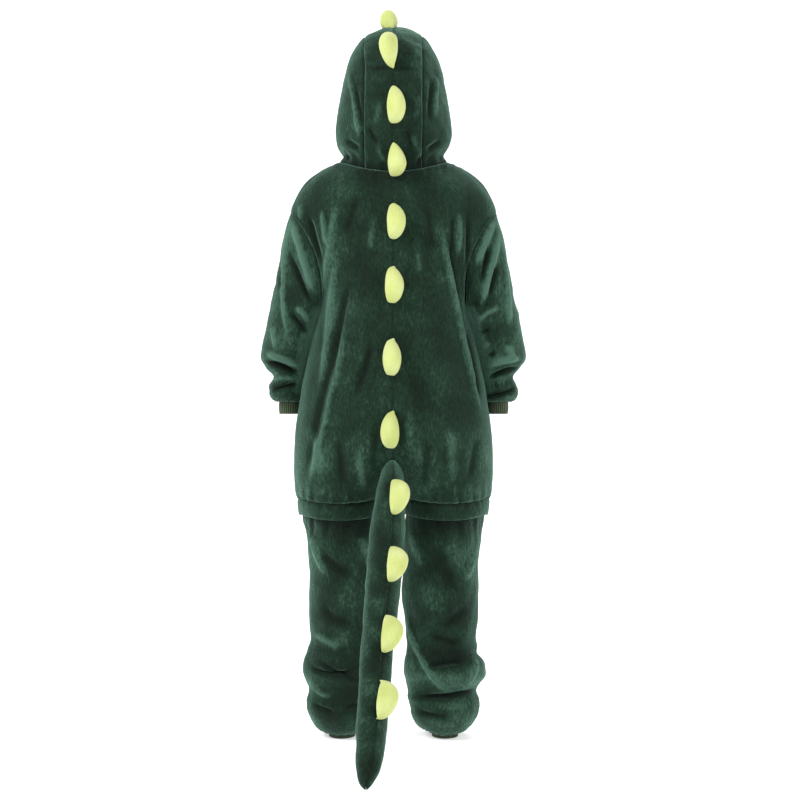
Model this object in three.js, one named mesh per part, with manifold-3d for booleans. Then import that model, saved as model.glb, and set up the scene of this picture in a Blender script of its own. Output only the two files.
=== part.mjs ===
// Child's plush dinosaur onesie in its worn, hollow form.
// Millimetres, +Z up. The back of the garment faces -Y and the wearer's right is +X.
// Heights in the tables count up from the ankle hems. The finished group is lowered so that
// the origin lies between the shoulders, where the wearer carries the garment.

import * as THREE from "three";
import { mergeVertices } from "three/addons/utils/BufferGeometryUtils.js";
import Module from "manifold-3d";

const wasm = await Module();
wasm.setup();

// Driving dimensions
const cloth = 3;
const seamGap = 0.3;
const holdHeight = 1000;
const half = seamGap / 2;

// Body: one row for each level, from the neck seam down to the leg bands.
// side, back and front are the level's heights at the side, the centre back and the centre front.
// wide is the half width, deep and belly the depth behind and before, leg the sideways shift of a leg.
const bodyRows = [
  { side: 1024, back: 1000, front: 962, wide: 98, deep: 68, belly: 62, leg: 0 },
  { side: 1013, back: 984, front: 948, wide: 125, deep: 81, belly: 74, leg: 0 },
  { side: 990, back: 964, front: 931, wide: 157, deep: 91, belly: 84, leg: 0 },
  { side: 963, back: 942, front: 913, wide: 174, deep: 97, belly: 90, leg: 0 },
  { side: 934, back: 919, front: 895, wide: 184, deep: 102, belly: 94, leg: 0 },
  { side: 905, back: 895, front: 877, wide: 168, deep: 106, belly: 97, leg: 0 },
  { side: 868, back: 862, front: 852, wide: 140, deep: 110, belly: 100, leg: 0 },
  { side: 828, back: 826, front: 822, wide: 130, deep: 113, belly: 102, leg: 0 },
  { side: 792, back: 792, front: 791, wide: 129, deep: 115, belly: 104, leg: 0 },
  { side: 760, back: 760, front: 760, wide: 130, deep: 116, belly: 105, leg: 0 },
  { side: 725, back: 725, front: 725, wide: 141, deep: 117, belly: 106, leg: 0 },
  { side: 684, back: 684, front: 684, wide: 150, deep: 118, belly: 107, leg: 0 },
  { side: 634, back: 634, front: 634, wide: 161, deep: 119, belly: 108, leg: 2 },
  { side: 590, back: 590, front: 590, wide: 169, deep: 120, belly: 108, leg: 12 },
  { side: 550, back: 550, front: 550, wide: 175, deep: 121, belly: 108, leg: 28 },
  { side: 512, back: 512, front: 512, wide: 178, deep: 121, belly: 107, leg: 48 },
  { side: 478, back: 478, front: 478, wide: 178, deep: 118, belly: 105, leg: 68 },
  { side: 452, back: 452, front: 452, wide: 177, deep: 112, belly: 101, leg: 83 },
  { side: 434, back: 434, front: 434, wide: 175, deep: 104, belly: 95, leg: 91 },
  { side: 420.3, back: 420.3, front: 420.3, wide: 172, deep: 97, belly: 88, leg: 93.5 },
];

// Armhole: a loop from the dropped shoulder to the underarm, bowed in towards the spine.
const armhole = { topX: 184, topZ: 934, lowX: 130, lowZ: 760, deep: 68, bow: 23, turn: 36 };

// Sleeve: rings from the armhole to the wrist. out and in are the ring's outer and inner ends,
// mid the forward shift of its centre, deep its half depth, bow what is left of the armhole's bow.
const sleeveRows = [
  { outX: 197, outZ: 884, inX: 138, inZ: 744, mid: 2, deep: 66, bow: 17 },
  { outX: 207, outZ: 835, inX: 143, inZ: 726, mid: 5, deep: 62, bow: 10 },
  { outX: 217, outZ: 785, inX: 147.5, inZ: 706, mid: 9, deep: 58, bow: 4 },
  { outX: 227, outZ: 737, inX: 152.5, inZ: 684, mid: 14, deep: 54, bow: 0 },
  { outX: 236, outZ: 698, inX: 157, inZ: 662, mid: 19, deep: 51, bow: 0 },
  { outX: 239, outZ: 674, inX: 160, inZ: 646, mid: 23, deep: 48, bow: 0 },
  { outX: 231, outZ: 655, inX: 163, inZ: 634, mid: 26, deep: 43, bow: 0 },
  { outX: 217, outZ: 637, inX: 166, inZ: 621, mid: 29, deep: 36, bow: 0 },
  { outX: 226, outZ: 620, inX: 165, inZ: 608, mid: 32, deep: 38, bow: 0 },
  { outX: 225, outZ: 603, inX: 163, inZ: 599, mid: 34, deep: 38, bow: 0 },
  { outX: 217, outZ: 593, inX: 163.5, inZ: 592, mid: 36, deep: 31, bow: 0 },
  { outX: 209, outZ: 591, inX: 166.4, inZ: 591, mid: 37, deep: 25, bow: 0 },
];
const wristCuff = { x: 188, y: 37, wide: 19, deep: 23, low: 575, high: 601 };

// Leg: rings from under the band to the ankle. out and in are the ring's outer and inner ends.
const legRows = [
  { z: 412, out: 163, in: 24, deep: 87, belly: 78 },
  { z: 392, out: 162, in: 23, deep: 86, belly: 77 },
  { z: 360, out: 156, in: 20, deep: 83, belly: 74 },
  { z: 310, out: 152, in: 16, deep: 78, belly: 70 },
  { z: 255, out: 151, in: 17, deep: 73, belly: 66 },
  { z: 210, out: 151, in: 21, deep: 70, belly: 64 },
  { z: 174, out: 147, in: 24, deep: 67, belly: 62 },
  { z: 148, out: 157, in: 22, deep: 72, belly: 66 },
  { z: 120, out: 162, in: 21, deep: 75, belly: 68 },
  { z: 84, out: 150, in: 25, deep: 64, belly: 60 },
  { z: 62, out: 156, in: 27, deep: 68, belly: 64 },
  { z: 42, out: 153, in: 30, deep: 66, belly: 64 },
  { z: 22, out: 141, in: 40, deep: 56, belly: 56 },
  { z: 11, out: 128, in: 55, deep: 44, belly: 44 },
  { z: 8, out: 117.4, in: 66.6, deep: 31.4, belly: 31.4 },
];
const ankleCuff = { x: 92, y: 0, wide: 24, deep: 30, low: 0, high: 42 };

// Band round each thigh, under the hem of the body.
const bandRows = [
  { z: 420, out: 172, in: 15, deep: 97, belly: 88 },
  { z: 405, out: 171, in: 15.5, deep: 96, belly: 87 },
  { z: 391, out: 168.5, in: 17, deep: 94, belly: 85 },
];

// Hood: rings from the neck seam to the crown, with the same columns as the body.
const hoodRows = [
  { side: 1024.8, back: 1000.8, front: 962.8, wide: 98, deep: 68, belly: 62 },
  { side: 1036, back: 1016, front: 985, wide: 89, deep: 74, belly: 70 },
  { side: 1055, back: 1040, front: 1015, wide: 101, deep: 90, belly: 80 },
  { side: 1080, back: 1070, front: 1050, wide: 104.5, deep: 104, belly: 90 },
  { side: 1112, back: 1107, front: 1095, wide: 100.5, deep: 112, belly: 98 },
  { side: 1150, back: 1148, front: 1140, wide: 94, deep: 113, belly: 102 },
  { side: 1185, back: 1185, front: 1180, wide: 86.5, deep: 105, belly: 99 },
  { side: 1215, back: 1217, front: 1212, wide: 76, deep: 90, belly: 87 },
  { side: 1240, back: 1242, front: 1239, wide: 60, deep: 66, belly: 66 },
  { side: 1256, back: 1257, front: 1256, wide: 38, deep: 38, belly: 40 },
  { side: 1264, back: 1264.5, front: 1264, wide: 14, deep: 14, belly: 14 },
];
const hoodStrip = 51;
const face = { wide: 62, low: 985, middle: 1090, high: 1200 };

// Tail: stations of its stuffed cone from inside the body to the tip.
// turn is how far round to the right the seam on its ridge lies, in degrees.
const tailRows = [
  { x: -1, y: -62, z: 468, wide: 18, deep: 40, turn: 0 },
  { x: -4, y: -120, z: 440, wide: 24, deep: 47, turn: 8 },
  { x: -9, y: -165, z: 390, wide: 29, deep: 39, turn: 16 },
  { x: -14, y: -215, z: 325, wide: 29, deep: 34, turn: 20 },
  { x: -20, y: -270, z: 250, wide: 28, deep: 31, turn: 21 },
  { x: -27, y: -325, z: 170, wide: 26, deep: 28, turn: 21 },
  { x: -32, y: -375, z: 97, wide: 24, deep: 25, turn: 17 },
  { x: -36, y: -412, z: 44, wide: 20, deep: 21, turn: 14 },
  { x: -39, y: -429, z: 22, wide: 12, deep: 12, turn: 10 },
  { x: -40, y: -436, z: 12, wide: 3, deep: 3, turn: 0 },
];

// Spikes down the spine seam: height of each middle, the seam's own drift to the right there,
// and how far the spike leans to the right, in degrees.
const bodySpikes = [
  { z: 1266, drift: -6, lean: -8 },
  { z: 1207, drift: -1, lean: -17 },
  { z: 1108, drift: 0, lean: 19 },
  { z: 1020, drift: 0, lean: 24 },
  { z: 908, drift: -2, lean: 27 },
  { z: 798, drift: -4, lean: 22 },
  { z: 674, drift: -4.5, lean: 9 },
  { z: 550, drift: -3, lean: -10 },
];
const tailSpikes = [
  { z: 437, drift: 0, lean: 23 },
  { z: 332, drift: 0, lean: 24 },
  { z: 229, drift: 0, lean: 26 },
  { z: 133, drift: 0, lean: 20 },
];
const spike = { long: 64, high: 36, thick: 31, blunt: 0.16, bodyLift: 1.6, tailLift: 0.9 };

const placket = { wide: 17, first: 0.35, last: 13, lift: 0.9 };
const button = { radius: 9, thick: 4, rows: [0.9, 3.9, 6.6, 9.3, 12.1] };

// Grid counts
const panelAcross = 8;
const tubeRound = 16;
const hoodRound = 26;

const plush = { color: 0x26463a, roughness: 0.92, metalness: 0 };
const rib = { color: 0x3b4a32, roughness: 0.95, metalness: 0 };
const lime = { color: 0xdcec78, roughness: 0.9, metalness: 0 };
const plastic = { color: 0x24382f, roughness: 0.45, metalness: 0 };

const model = new THREE.Group();
model.position.z = -holdHeight;

const degrees = Math.PI / 180;

function addMesh(name, geometry, look) {
  const mesh = new THREE.Mesh(geometry, new THREE.MeshStandardMaterial(look));
  mesh.name = name;
  model.add(mesh);
  return mesh;
}

// A column's value between the rows, on a smooth curve through its neighbours.
function column(rows, key, at) {
  const k = Math.min(Math.floor(at), rows.length - 2);
  const s = at - k;
  const value = (i) => rows[Math.max(0, Math.min(rows.length - 1, i))][key];
  const rise = (i) => (value(i + 1) - value(i - 1)) / 2;
  const s2 = s * s;
  const s3 = s2 * s;
  return value(k) * (2 * s3 - 3 * s2 + 1) + rise(k) * (s3 - 2 * s2 + s)
    + value(k + 1) * (3 * s2 - 2 * s3) + rise(k + 1) * (s3 - s2);
}

// Triangles of a mesh from its points, turned so that they face out.
function geometryFrom(points, triangles) {
  let volume = 0;
  for (const [a, b, c] of triangles) {
    volume += points[a].dot(new THREE.Vector3().crossVectors(points[b], points[c]));
  }
  const order = volume < 0 ? [0, 2, 1] : [0, 1, 2];
  const geometry = new THREE.BufferGeometry();
  geometry.setFromPoints(points);
  geometry.setIndex(triangles.flatMap((t) => order.map((i) => t[i])));
  return geometry;
}

// Two triangles for each cell of a grid with rows of count points.
function gridTriangles(rows, count, closed, start, turned) {
  const made = [];
  const cells = closed ? count : count - 1;
  for (let v = 0; v < rows - 1; v += 1) {
    for (let u = 0; u < cells; u += 1) {
      const a = start + v * count + u;
      const b = start + v * count + ((u + 1) % count);
      const c = b + count;
      const d = a + count;
      made.push(turned ? [a, c, b] : [a, b, c]);
      made.push(turned ? [a, d, c] : [a, c, d]);
    }
  }
  return made;
}

// A cloth wall between an outer and an inner grid of points, closed by its edges.
function wall(outer, inner, closed) {
  const rows = outer.length;
  const count = outer[0].length;
  const size = rows * count;
  const points = [...outer.flat(), ...inner.flat()];
  const triangles = gridTriangles(rows, count, closed, 0, false);
  triangles.push(...gridTriangles(rows, count, closed, size, true));
  const edge = (a, b) => {
    triangles.push([b, a, a + size]);
    triangles.push([b, a + size, b + size]);
  };
  const last = (rows - 1) * count;
  for (let u = 0; u < (closed ? count : count - 1); u += 1) {
    const next = (u + 1) % count;
    edge(u, next);
    edge(last + next, last + u);
  }
  if (!closed) {
    for (let v = 0; v < rows - 1; v += 1) {
      edge((v + 1) * count, v * count);
      edge(v * count + count - 1, (v + 1) * count + count - 1);
    }
  }
  return geometryFrom(points, triangles);
}

// A filled solid through a list of loops, closed by a fan at each end.
function loft(loops) {
  const count = loops[0].length;
  const points = loops.flat();
  const triangles = gridTriangles(loops.length, count, true, 0, false);
  const fan = (loop, first, turned) => {
    const middle = new THREE.Vector3();
    for (const p of loop) middle.addScaledVector(p, 1 / count);
    const hub = points.push(middle) - 1;
    for (let u = 0; u < count; u += 1) {
      const a = first + u;
      const b = first + ((u + 1) % count);
      triangles.push(turned ? [hub, b, a] : [hub, a, b]);
    }
  };
  fan(loops[0], 0, true);
  fan(loops[loops.length - 1], (loops.length - 1) * count, false);
  return geometryFrom(points, triangles);
}

// A grid of surface points and the same grid moved inwards by the cloth's thickness.
// middle(v) is a point inside the garment, which tells the inward side.
function clothGrids(surface, acrossList, alongList, middle) {
  const outer = [];
  const inner = [];
  const step = 1e-3;
  for (const v of alongList) {
    const outerRow = [];
    const innerRow = [];
    for (const u of acrossList) {
      const p = surface(u, v);
      const across = surface(u + step, v).sub(surface(u - step, v));
      const lower = Math.max(v - 0.02, alongList[0]);
      const upper = Math.min(v + 0.02, alongList[alongList.length - 1]);
      const along = surface(u, upper).sub(surface(u, lower));
      const inward = new THREE.Vector3().crossVectors(across, along).normalize();
      if (inward.dot(middle(v).sub(p)) < 0) inward.negate();
      outerRow.push(p);
      innerRow.push(p.clone().addScaledVector(inward, cloth));
    }
    outer.push(outerRow);
    inner.push(innerRow);
  }
  return { outer, inner };
}

function steps(from, to, count) {
  return Array.from({ length: count + 1 }, (_, i) => from + ((to - from) * i) / count);
}

// Armhole edge at a height: its x and its distance from the side line.
function armholeAt(z) {
  const middleZ = (armhole.topZ + armhole.lowZ) / 2;
  const cos = Math.max(-1, Math.min(1, (z - middleZ) / (armhole.topZ - middleZ)));
  const sin = Math.sqrt(1 - cos * cos);
  const x = (armhole.topX + armhole.lowX) / 2 + ((armhole.topX - armhole.lowX) / 2) * cos
    - armhole.bow * sin * sin;
  return { x, y: armhole.deep * sin };
}

// One level of the body on one face (-1 behind, 1 before).
function bodyLevel(at, faceSign) {
  const side = column(bodyRows, "side", at);
  const open = side < armhole.topZ && side > armhole.lowZ;
  const rim = open ? armholeAt(side) : { x: column(bodyRows, "wide", at), y: 0 };
  const turn = (90 - (armhole.turn * rim.y) / armhole.deep) * degrees;
  const leg = column(bodyRows, "leg", at);
  const reach = rim.x - leg;
  const start = -Math.asin(Math.min(1, (leg / reach) * Math.sin(turn)));
  return {
    side, rim, turn, leg, reach, start,
    depth: column(bodyRows, faceSign < 0 ? "deep" : "belly", at),
    middleZ: column(bodyRows, faceSign < 0 ? "back" : "front", at),
  };
}

// A point of the body's right half at an angle round the level, from its centre seam to its side.
function bodyAtAngle(level, angle, faceSign) {
  const x = level.leg + (level.reach * Math.sin(angle)) / Math.sin(level.turn);
  const fall = (Math.cos(angle) - Math.cos(level.turn)) / (1 - Math.cos(level.turn));
  const y = level.rim.y + (level.depth - level.rim.y) * fall;
  const share = Math.max(0, Math.min(1, x / level.rim.x));
  const z = level.middleZ + (level.side - level.middleZ) * share * share;
  return new THREE.Vector3(x + half, faceSign * (y + half), z);
}

function bodyPoint(share, at, faceSign) {
  const level = bodyLevel(at, faceSign);
  return bodyAtAngle(level, level.start + (level.turn - level.start) * share, faceSign);
}

function bodyMiddle(at, faceSign) {
  const level = bodyLevel(at, faceSign);
  return new THREE.Vector3(Math.max(level.leg, 1), 0, Math.min(level.side, level.middleZ) - 8);
}

function mirrored(grid) {
  return grid.map((row) => row.map((p) => new THREE.Vector3(-p.x, p.y, p.z)));
}

// The level at which the body's side has a height
function levelAtHeight(z) {
  let low = 0;
  let high = bodyRows.length - 1;
  for (let i = 0; i < 40; i += 1) {
    const middle = (low + high) / 2;
    if (column(bodyRows, "side", middle) > z) low = middle;
    else high = middle;
  }
  return (low + high) / 2;
}

// Levels of the grid: the table's own, and in the armhole one for each point of the sleeve's ring
const armholeTopRow = bodyRows.findIndex((row) => row.side === armhole.topZ);
const armholeLowRow = bodyRows.findIndex((row) => row.side === armhole.lowZ);
const armholeLevels = steps(0, Math.PI, tubeRound / 2).slice(1, -1).map((angle) => levelAtHeight(
  (armhole.topZ + armhole.lowZ) / 2 + ((armhole.topZ - armhole.lowZ) / 2) * Math.cos(angle)));
const bodyLevels = [
  ...steps(0, armholeTopRow, armholeTopRow),
  ...armholeLevels,
  ...steps(armholeLowRow, bodyRows.length - 1, bodyRows.length - 1 - armholeLowRow),
];

// Front and back panels, each cut on its own side of the centre, side and shoulder seams
for (const [faceName, faceSign] of [["back", -1], ["front", 1]]) {
  const surface = (u, v) => bodyPoint(Math.max(0, Math.min(1, u)), v, faceSign);
  const inside = (v) => bodyMiddle(v, faceSign);
  const grids = clothGrids(surface, steps(0, 1, panelAcross), bodyLevels, inside);
  for (const row of grids.inner) {
    for (const p of row) {
      p.x = Math.max(p.x, half);
      p.y = faceSign * Math.max(p.y * faceSign, half);
    }
  }
  const lastRow = grids.inner[grids.inner.length - 1];
  for (const p of lastRow) p.z = bodyRows[bodyRows.length - 1].side;
  addMesh(`${faceName}_right`, wall(grids.outer, grids.inner, false), plush);
  addMesh(`${faceName}_left`, wall(mirrored(grids.outer), mirrored(grids.inner), false), plush);
}

// Sleeves: the first ring is the armhole itself, a seam's gap out from the body's edge
const armholeRing = { outX: armhole.topX, outZ: armhole.topZ, inX: armhole.lowX, inZ: armhole.lowZ,
  mid: 0, deep: armhole.deep, bow: armhole.bow };
const sleeveRings = [armholeRing, ...sleeveRows];

function sleevePoint(angle, at) {
  const get = (key) => column(sleeveRings, key, at);
  const cos = Math.cos(angle);
  const sin = Math.sin(angle);
  const x = (get("outX") + get("inX")) / 2 + ((get("outX") - get("inX")) / 2) * cos
    - get("bow") * sin * sin;
  const z = (get("outZ") + get("inZ")) / 2 + ((get("outZ") - get("inZ")) / 2) * cos;
  return new THREE.Vector3(x, get("mid") + get("deep") * sin, z);
}

function tube(name, surface, alongList, middle, shift, look) {
  const round = steps(0, 2 * Math.PI, tubeRound).slice(0, -1);
  const grids = clothGrids(surface, round, alongList, middle);
  const moved = (grid) => grid.map((row) => row.map((p) => p.clone().add(shift)));
  const outer = moved(grids.outer);
  const inner = moved(grids.inner);
  addMesh(`${name}_right`, wall(outer, inner, true), look);
  addMesh(`${name}_left`, wall(mirrored(outer), mirrored(inner), true), look);
}

// A point inside a tube, a little above the ring's own middle because the hems turn in
const aboveMiddle = 25;
function ringMiddle(surface) {
  return (v) => {
    const p = surface(0, v).add(surface(Math.PI, v)).multiplyScalar(0.5);
    p.z += aboveMiddle;
    return p;
  };
}

const sleeveClear = new THREE.Vector3(0.5, 0, -0.2);
tube("sleeve", sleevePoint, steps(0, sleeveRows.length, sleeveRows.length),
  ringMiddle(sleevePoint), sleeveClear, plush);

// Legs and thigh bands
function legSurface(rows) {
  return (angle, at) => {
    const out = column(rows, "out", at);
    const into = column(rows, "in", at);
    const sin = Math.sin(angle);
    const depth = column(rows, sin < 0 ? "deep" : "belly", at);
    const x = (out + into) / 2 + ((out - into) / 2) * Math.cos(angle);
    return new THREE.Vector3(x, depth * sin, column(rows, "z", at));
  };
}
const still = new THREE.Vector3();
for (const [name, rows] of [["leg", legRows], ["band", bandRows]]) {
  const surface = legSurface(rows);
  const last = rows.length - 1;
  tube(name, surface, steps(0, last, last), ringMiddle(surface), still, plush);
}

// Ribbed cuffs at the wrists and ankles
for (const [name, cuff] of [["wrist_cuff", wristCuff], ["ankle_cuff", ankleCuff]]) {
  const surface = (angle, at) => new THREE.Vector3(
    cuff.x + cuff.wide * Math.cos(angle),
    cuff.y + cuff.deep * Math.sin(angle),
    cuff.high + (cuff.low - cuff.high) * at,
  );
  const shift = name === "wrist_cuff" ? sleeveClear : still;
  tube(name, surface, [0, 1], ringMiddle(surface), shift, rib);
}

// Hood
function toManifold(geometry) {
  const plain = geometry.clone();
  for (const key of Object.keys(plain.attributes)) if (key !== "position") plain.deleteAttribute(key);
  const merged = mergeVertices(plain, 1e-4);
  return new wasm.Manifold(new wasm.Mesh({
    numProp: 3,
    vertProperties: new Float32Array(merged.attributes.position.array),
    triVerts: new Uint32Array(merged.index.array),
  }));
}

function fromManifold(solid) {
  const mesh = solid.getMesh();
  const geometry = new THREE.BufferGeometry();
  geometry.setAttribute("position", new THREE.BufferAttribute(new Float32Array(mesh.vertProperties), 3));
  geometry.setIndex(new THREE.BufferAttribute(new Uint32Array(mesh.triVerts), 1));
  return geometry;
}

function box(x0, x1, y0, y1, z0, z1) {
  const geometry = new THREE.BoxGeometry(x1 - x0, y1 - y0, z1 - z0);
  geometry.translate((x0 + x1) / 2, (y0 + y1) / 2, (z0 + z1) / 2);
  return toManifold(geometry);
}

// A ring of the hood, from the centre front round; inset moves it inwards and drop lowers it.
function hoodRing(row, inset, drop) {
  return steps(0, 2 * Math.PI, hoodRound).slice(0, -1).map((angle) => {
    const sin = Math.sin(angle);
    const cos = Math.cos(angle);
    const depth = cos < 0 ? row.deep : row.belly;
    const middleZ = cos < 0 ? row.back : row.front;
    const z = middleZ + (row.side - middleZ) * sin * sin;
    return new THREE.Vector3((row.wide - inset) * sin, (depth - inset) * cos, z - drop);
  });
}

const hoodOuter = toManifold(loft(hoodRows.map((row) => hoodRing(row, 0, 0))));
// The inner dome starts below the neck, and its crown is lowered as well as drawn in
const crownRow = 6;
const belowNeck = 20;
const crownDrop = cloth * 0.8;
const hoodInner = toManifold(loft([
  hoodRing(hoodRows[0], cloth, belowNeck),
  ...hoodRows.slice(0, -1).map((row, k) => hoodRing(row, cloth, k < crownRow ? 0 : crownDrop)),
]));

// Face opening: an egg shape in the XZ plane, carried forwards through the hood's front
const faceShape = new THREE.Shape();
faceShape.moveTo(0, face.low);
faceShape.bezierCurveTo(face.wide * 0.7, face.low, face.wide, face.low + 50, face.wide, face.middle);
faceShape.bezierCurveTo(face.wide, face.high - 25, face.wide * 0.6, face.high, 0, face.high);
faceShape.bezierCurveTo(-face.wide * 0.6, face.high, -face.wide, face.high - 25, -face.wide, face.middle);
faceShape.bezierCurveTo(-face.wide, face.low + 50, -face.wide * 0.7, face.low, 0, face.low);
const faceSolid = new THREE.ExtrudeGeometry(faceShape, { depth: 200, bevelEnabled: false, curveSegments: 6 });
faceSolid.rotateX(Math.PI / 2);
faceSolid.scale(1, -1, 1);
const facePositions = faceSolid.attributes.position;
const faceGeometry = geometryFrom(
  Array.from({ length: facePositions.count }, (_, i) =>
    new THREE.Vector3().fromBufferAttribute(facePositions, i)),
  Array.from({ length: facePositions.count / 3 }, (_, i) => [3 * i, 3 * i + 1, 3 * i + 2]),
);
const hoodShell = hoodOuter.subtract(hoodInner).subtract(toManifold(faceGeometry));

// Cutting zones: the centre strips end at the throat, below which the side panels meet in front
const throat = 1110;
const far = 400;
const floorZ = holdHeight - far;
const roofZ = holdHeight + far;
const stripZone = box(half, hoodStrip - half, -far, far, floorZ, roofZ)
  .subtract(box(-1, far, -half, far, floorZ, throat + half));
const sideZone = box(hoodStrip + half, far, -far, far, floorZ, roofZ)
  .add(box(half, hoodStrip + 1, half, far, floorZ, throat - half));
const flip = (geometry) => {
  const positions = geometry.attributes.position;
  const points = Array.from({ length: positions.count }, (_, i) =>
    new THREE.Vector3(-positions.getX(i), positions.getY(i), positions.getZ(i)));
  const index = geometry.index.array;
  const triangles = Array.from({ length: index.length / 3 }, (_, i) =>
    [index[3 * i], index[3 * i + 1], index[3 * i + 2]]);
  return geometryFrom(points, triangles);
};
for (const [name, zone] of [["hood_centre", stripZone], ["hood_side", sideZone]]) {
  const panel = fromManifold(hoodShell.intersect(zone));
  addMesh(`${name}_right`, panel, plush);
  addMesh(`${name}_left`, flip(panel), plush);
}

// Body as filled solids a little larger than the cloth, to keep the tail clear of it
function filledHalf(grow) {
  const loops = [];
  for (let k = armholeTopRow; k < bodyRows.length; k += 1) {
    const loop = [];
    for (const share of steps(0, 1, panelAcross)) loop.push(bodyPoint(share, k, -1));
    for (const share of steps(1, 0, panelAcross)) loop.push(bodyPoint(share, k, 1));
    const middle = bodyMiddle(k, -1);
    loops.push(loop.map((p) => new THREE.Vector3(
      p.x < 1 ? p.x - 2 : p.x + grow * Math.sign(p.x - middle.x),
      p.y + grow * Math.sign(p.y),
      p.z,
    )));
  }
  return loft(loops);
}
const tailClear = 0.6;
const filledRight = filledHalf(tailClear);
const filledBody = toManifold(filledRight).add(toManifold(flip(filledRight)));

// Tail: two stuffed halves that meet at a seam through its top and underside
const tailAxis = new THREE.CatmullRomCurve3(
  tailRows.map((row) => new THREE.Vector3(row.x, row.y, row.z)), false, "catmullrom", 0.5);
const tailStations = steps(0, 1, tailRows.length - 1);

// The tail's local frame at a station: where it is, which way is right and which way is out behind
function tailFrame(share) {
  const at = share * (tailRows.length - 1);
  const tangent = tailAxis.getTangent(share);
  const right = new THREE.Vector3(1, 0, 0);
  const out = new THREE.Vector3().crossVectors(right, tangent).normalize();
  if (out.z < 0) out.negate();
  return { centre: tailAxis.getPoint(share), right, out, turn: column(tailRows, "turn", at) * degrees,
    wide: column(tailRows, "wide", at), deep: column(tailRows, "deep", at) };
}

// A direction in a station's plane from its parts to the right and out
function inStation(f, toRight, toOut) {
  return new THREE.Vector3().addScaledVector(f.right, toRight).addScaledVector(f.out, toOut);
}

// The tail's surface point at an angle round the station from its ridge
function tailPoint(f, angle) {
  return inStation(f, f.wide * Math.sin(angle), f.deep * Math.cos(angle)).add(f.centre);
}

const tailRoundHalf = 7;
for (const [name, side] of [["tail_right", 1], ["tail_left", -1]]) {
  const loops = tailStations.map((share) => {
    const f = tailFrame(share);
    const away = inStation(f, f.deep * Math.cos(f.turn), -f.wide * Math.sin(f.turn)).normalize();
    return steps(0, Math.PI, tailRoundHalf).map((angle) =>
      tailPoint(f, f.turn + side * angle).addScaledVector(away, side * half));
  });
  const solid = toManifold(loft(loops)).subtract(filledBody);
  const kept = solid.decompose().sort((a, b) => b.volume() - a.volume())[0];
  addMesh(name, fromManifold(kept), plush);
}

// Spikes: plump lobes rooted on the seam, leaning to one side, flat where they rest on the cloth
const spineRows = [
  ...hoodRows.slice(1).reverse().map((row) => new THREE.Vector3(0, -row.deep, row.back)),
  ...bodyRows.slice(1, 17).map((row) => {
    const level = bodyLevel(bodyRows.indexOf(row), -1);
    return bodyAtAngle(level, level.start, -1).setX(0);
  }),
];
const crownFront = [
  new THREE.Vector3(0, 40, 1256),
  new THREE.Vector3(0, 14, 1264.5),
];
const spine = new THREE.CatmullRomCurve3([...crownFront, ...spineRows], false, "catmullrom", 0.5);
const tailSeam = new THREE.CatmullRomCurve3(tailStations.map((share) => {
  const f = tailFrame(share);
  return tailPoint(f, f.turn);
}), false, "catmullrom", 0.5);

// Where a seam is at a share of its length, and which ways are right and out from the cloth there
function spineFrame(share) {
  const tangent = spine.getTangentAt(share);
  return {
    root: spine.getPointAt(share),
    right: new THREE.Vector3(1, 0, 0),
    out: new THREE.Vector3(0, tangent.z, -tangent.y).normalize(),
  };
}

function tailSeamFrame(share) {
  const f = tailFrame(tailSeam.getUtoTmapping(share));
  const toRight = Math.sin(f.turn) / f.wide;
  const toOut = Math.cos(f.turn) / f.deep;
  return {
    root: tailSeam.getPointAt(share),
    right: inStation(f, toOut, -toRight).normalize(),
    out: inStation(f, toRight, toOut).normalize(),
  };
}

// Share of a curve's length where it comes closest to a height
function shareAtHeight(curve, z) {
  const shares = steps(0, 1, 600);
  const miss = shares.map((share) => Math.abs(curve.getPointAt(share).z - z));
  return shares[miss.indexOf(Math.min(...miss))];
}

const spikeStations = 6;
const spikeRound = 8;
function spikeGeometry(curve, frameAt, row, lift) {
  const total = curve.getLength();
  const middle = shareAtHeight(curve, row.z);
  const lean = row.lean * degrees;
  const loops = steps(0, Math.PI, spikeStations).map((turn) => {
    const along = (-Math.cos(turn) * spike.long) / 2;
    const full = Math.max(Math.sin(turn), spike.blunt);
    const { root, right, out } = frameAt(Math.max(0, Math.min(1, middle + along / total)));
    const tallHalf = (spike.high * full) / 2;
    const thickHalf = (spike.thick * Math.pow(full, 0.8)) / 2;
    return steps(0, 2 * Math.PI, spikeRound).slice(0, -1).map((angle) => {
      const up = tallHalf * (1 - Math.cos(angle));
      const side = thickHalf * Math.sin(angle);
      const over = up * Math.sin(lean) + side * Math.cos(lean);
      const rise = up * Math.cos(lean) - side * Math.sin(lean);
      return root.clone()
        .addScaledVector(right, over + row.drift)
        .addScaledVector(out, Math.max(rise, 0) + lift);
    });
  });
  return loft(loops);
}
bodySpikes.forEach((row, i) => {
  addMesh(`spike_${i + 1}`, spikeGeometry(spine, spineFrame, row, spike.bodyLift), lime);
});
tailSpikes.forEach((row, i) => {
  const number = bodySpikes.length + i + 1;
  addMesh(`spike_${number}`, spikeGeometry(tailSeam, tailSeamFrame, row, spike.tailLift), lime);
});

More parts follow.
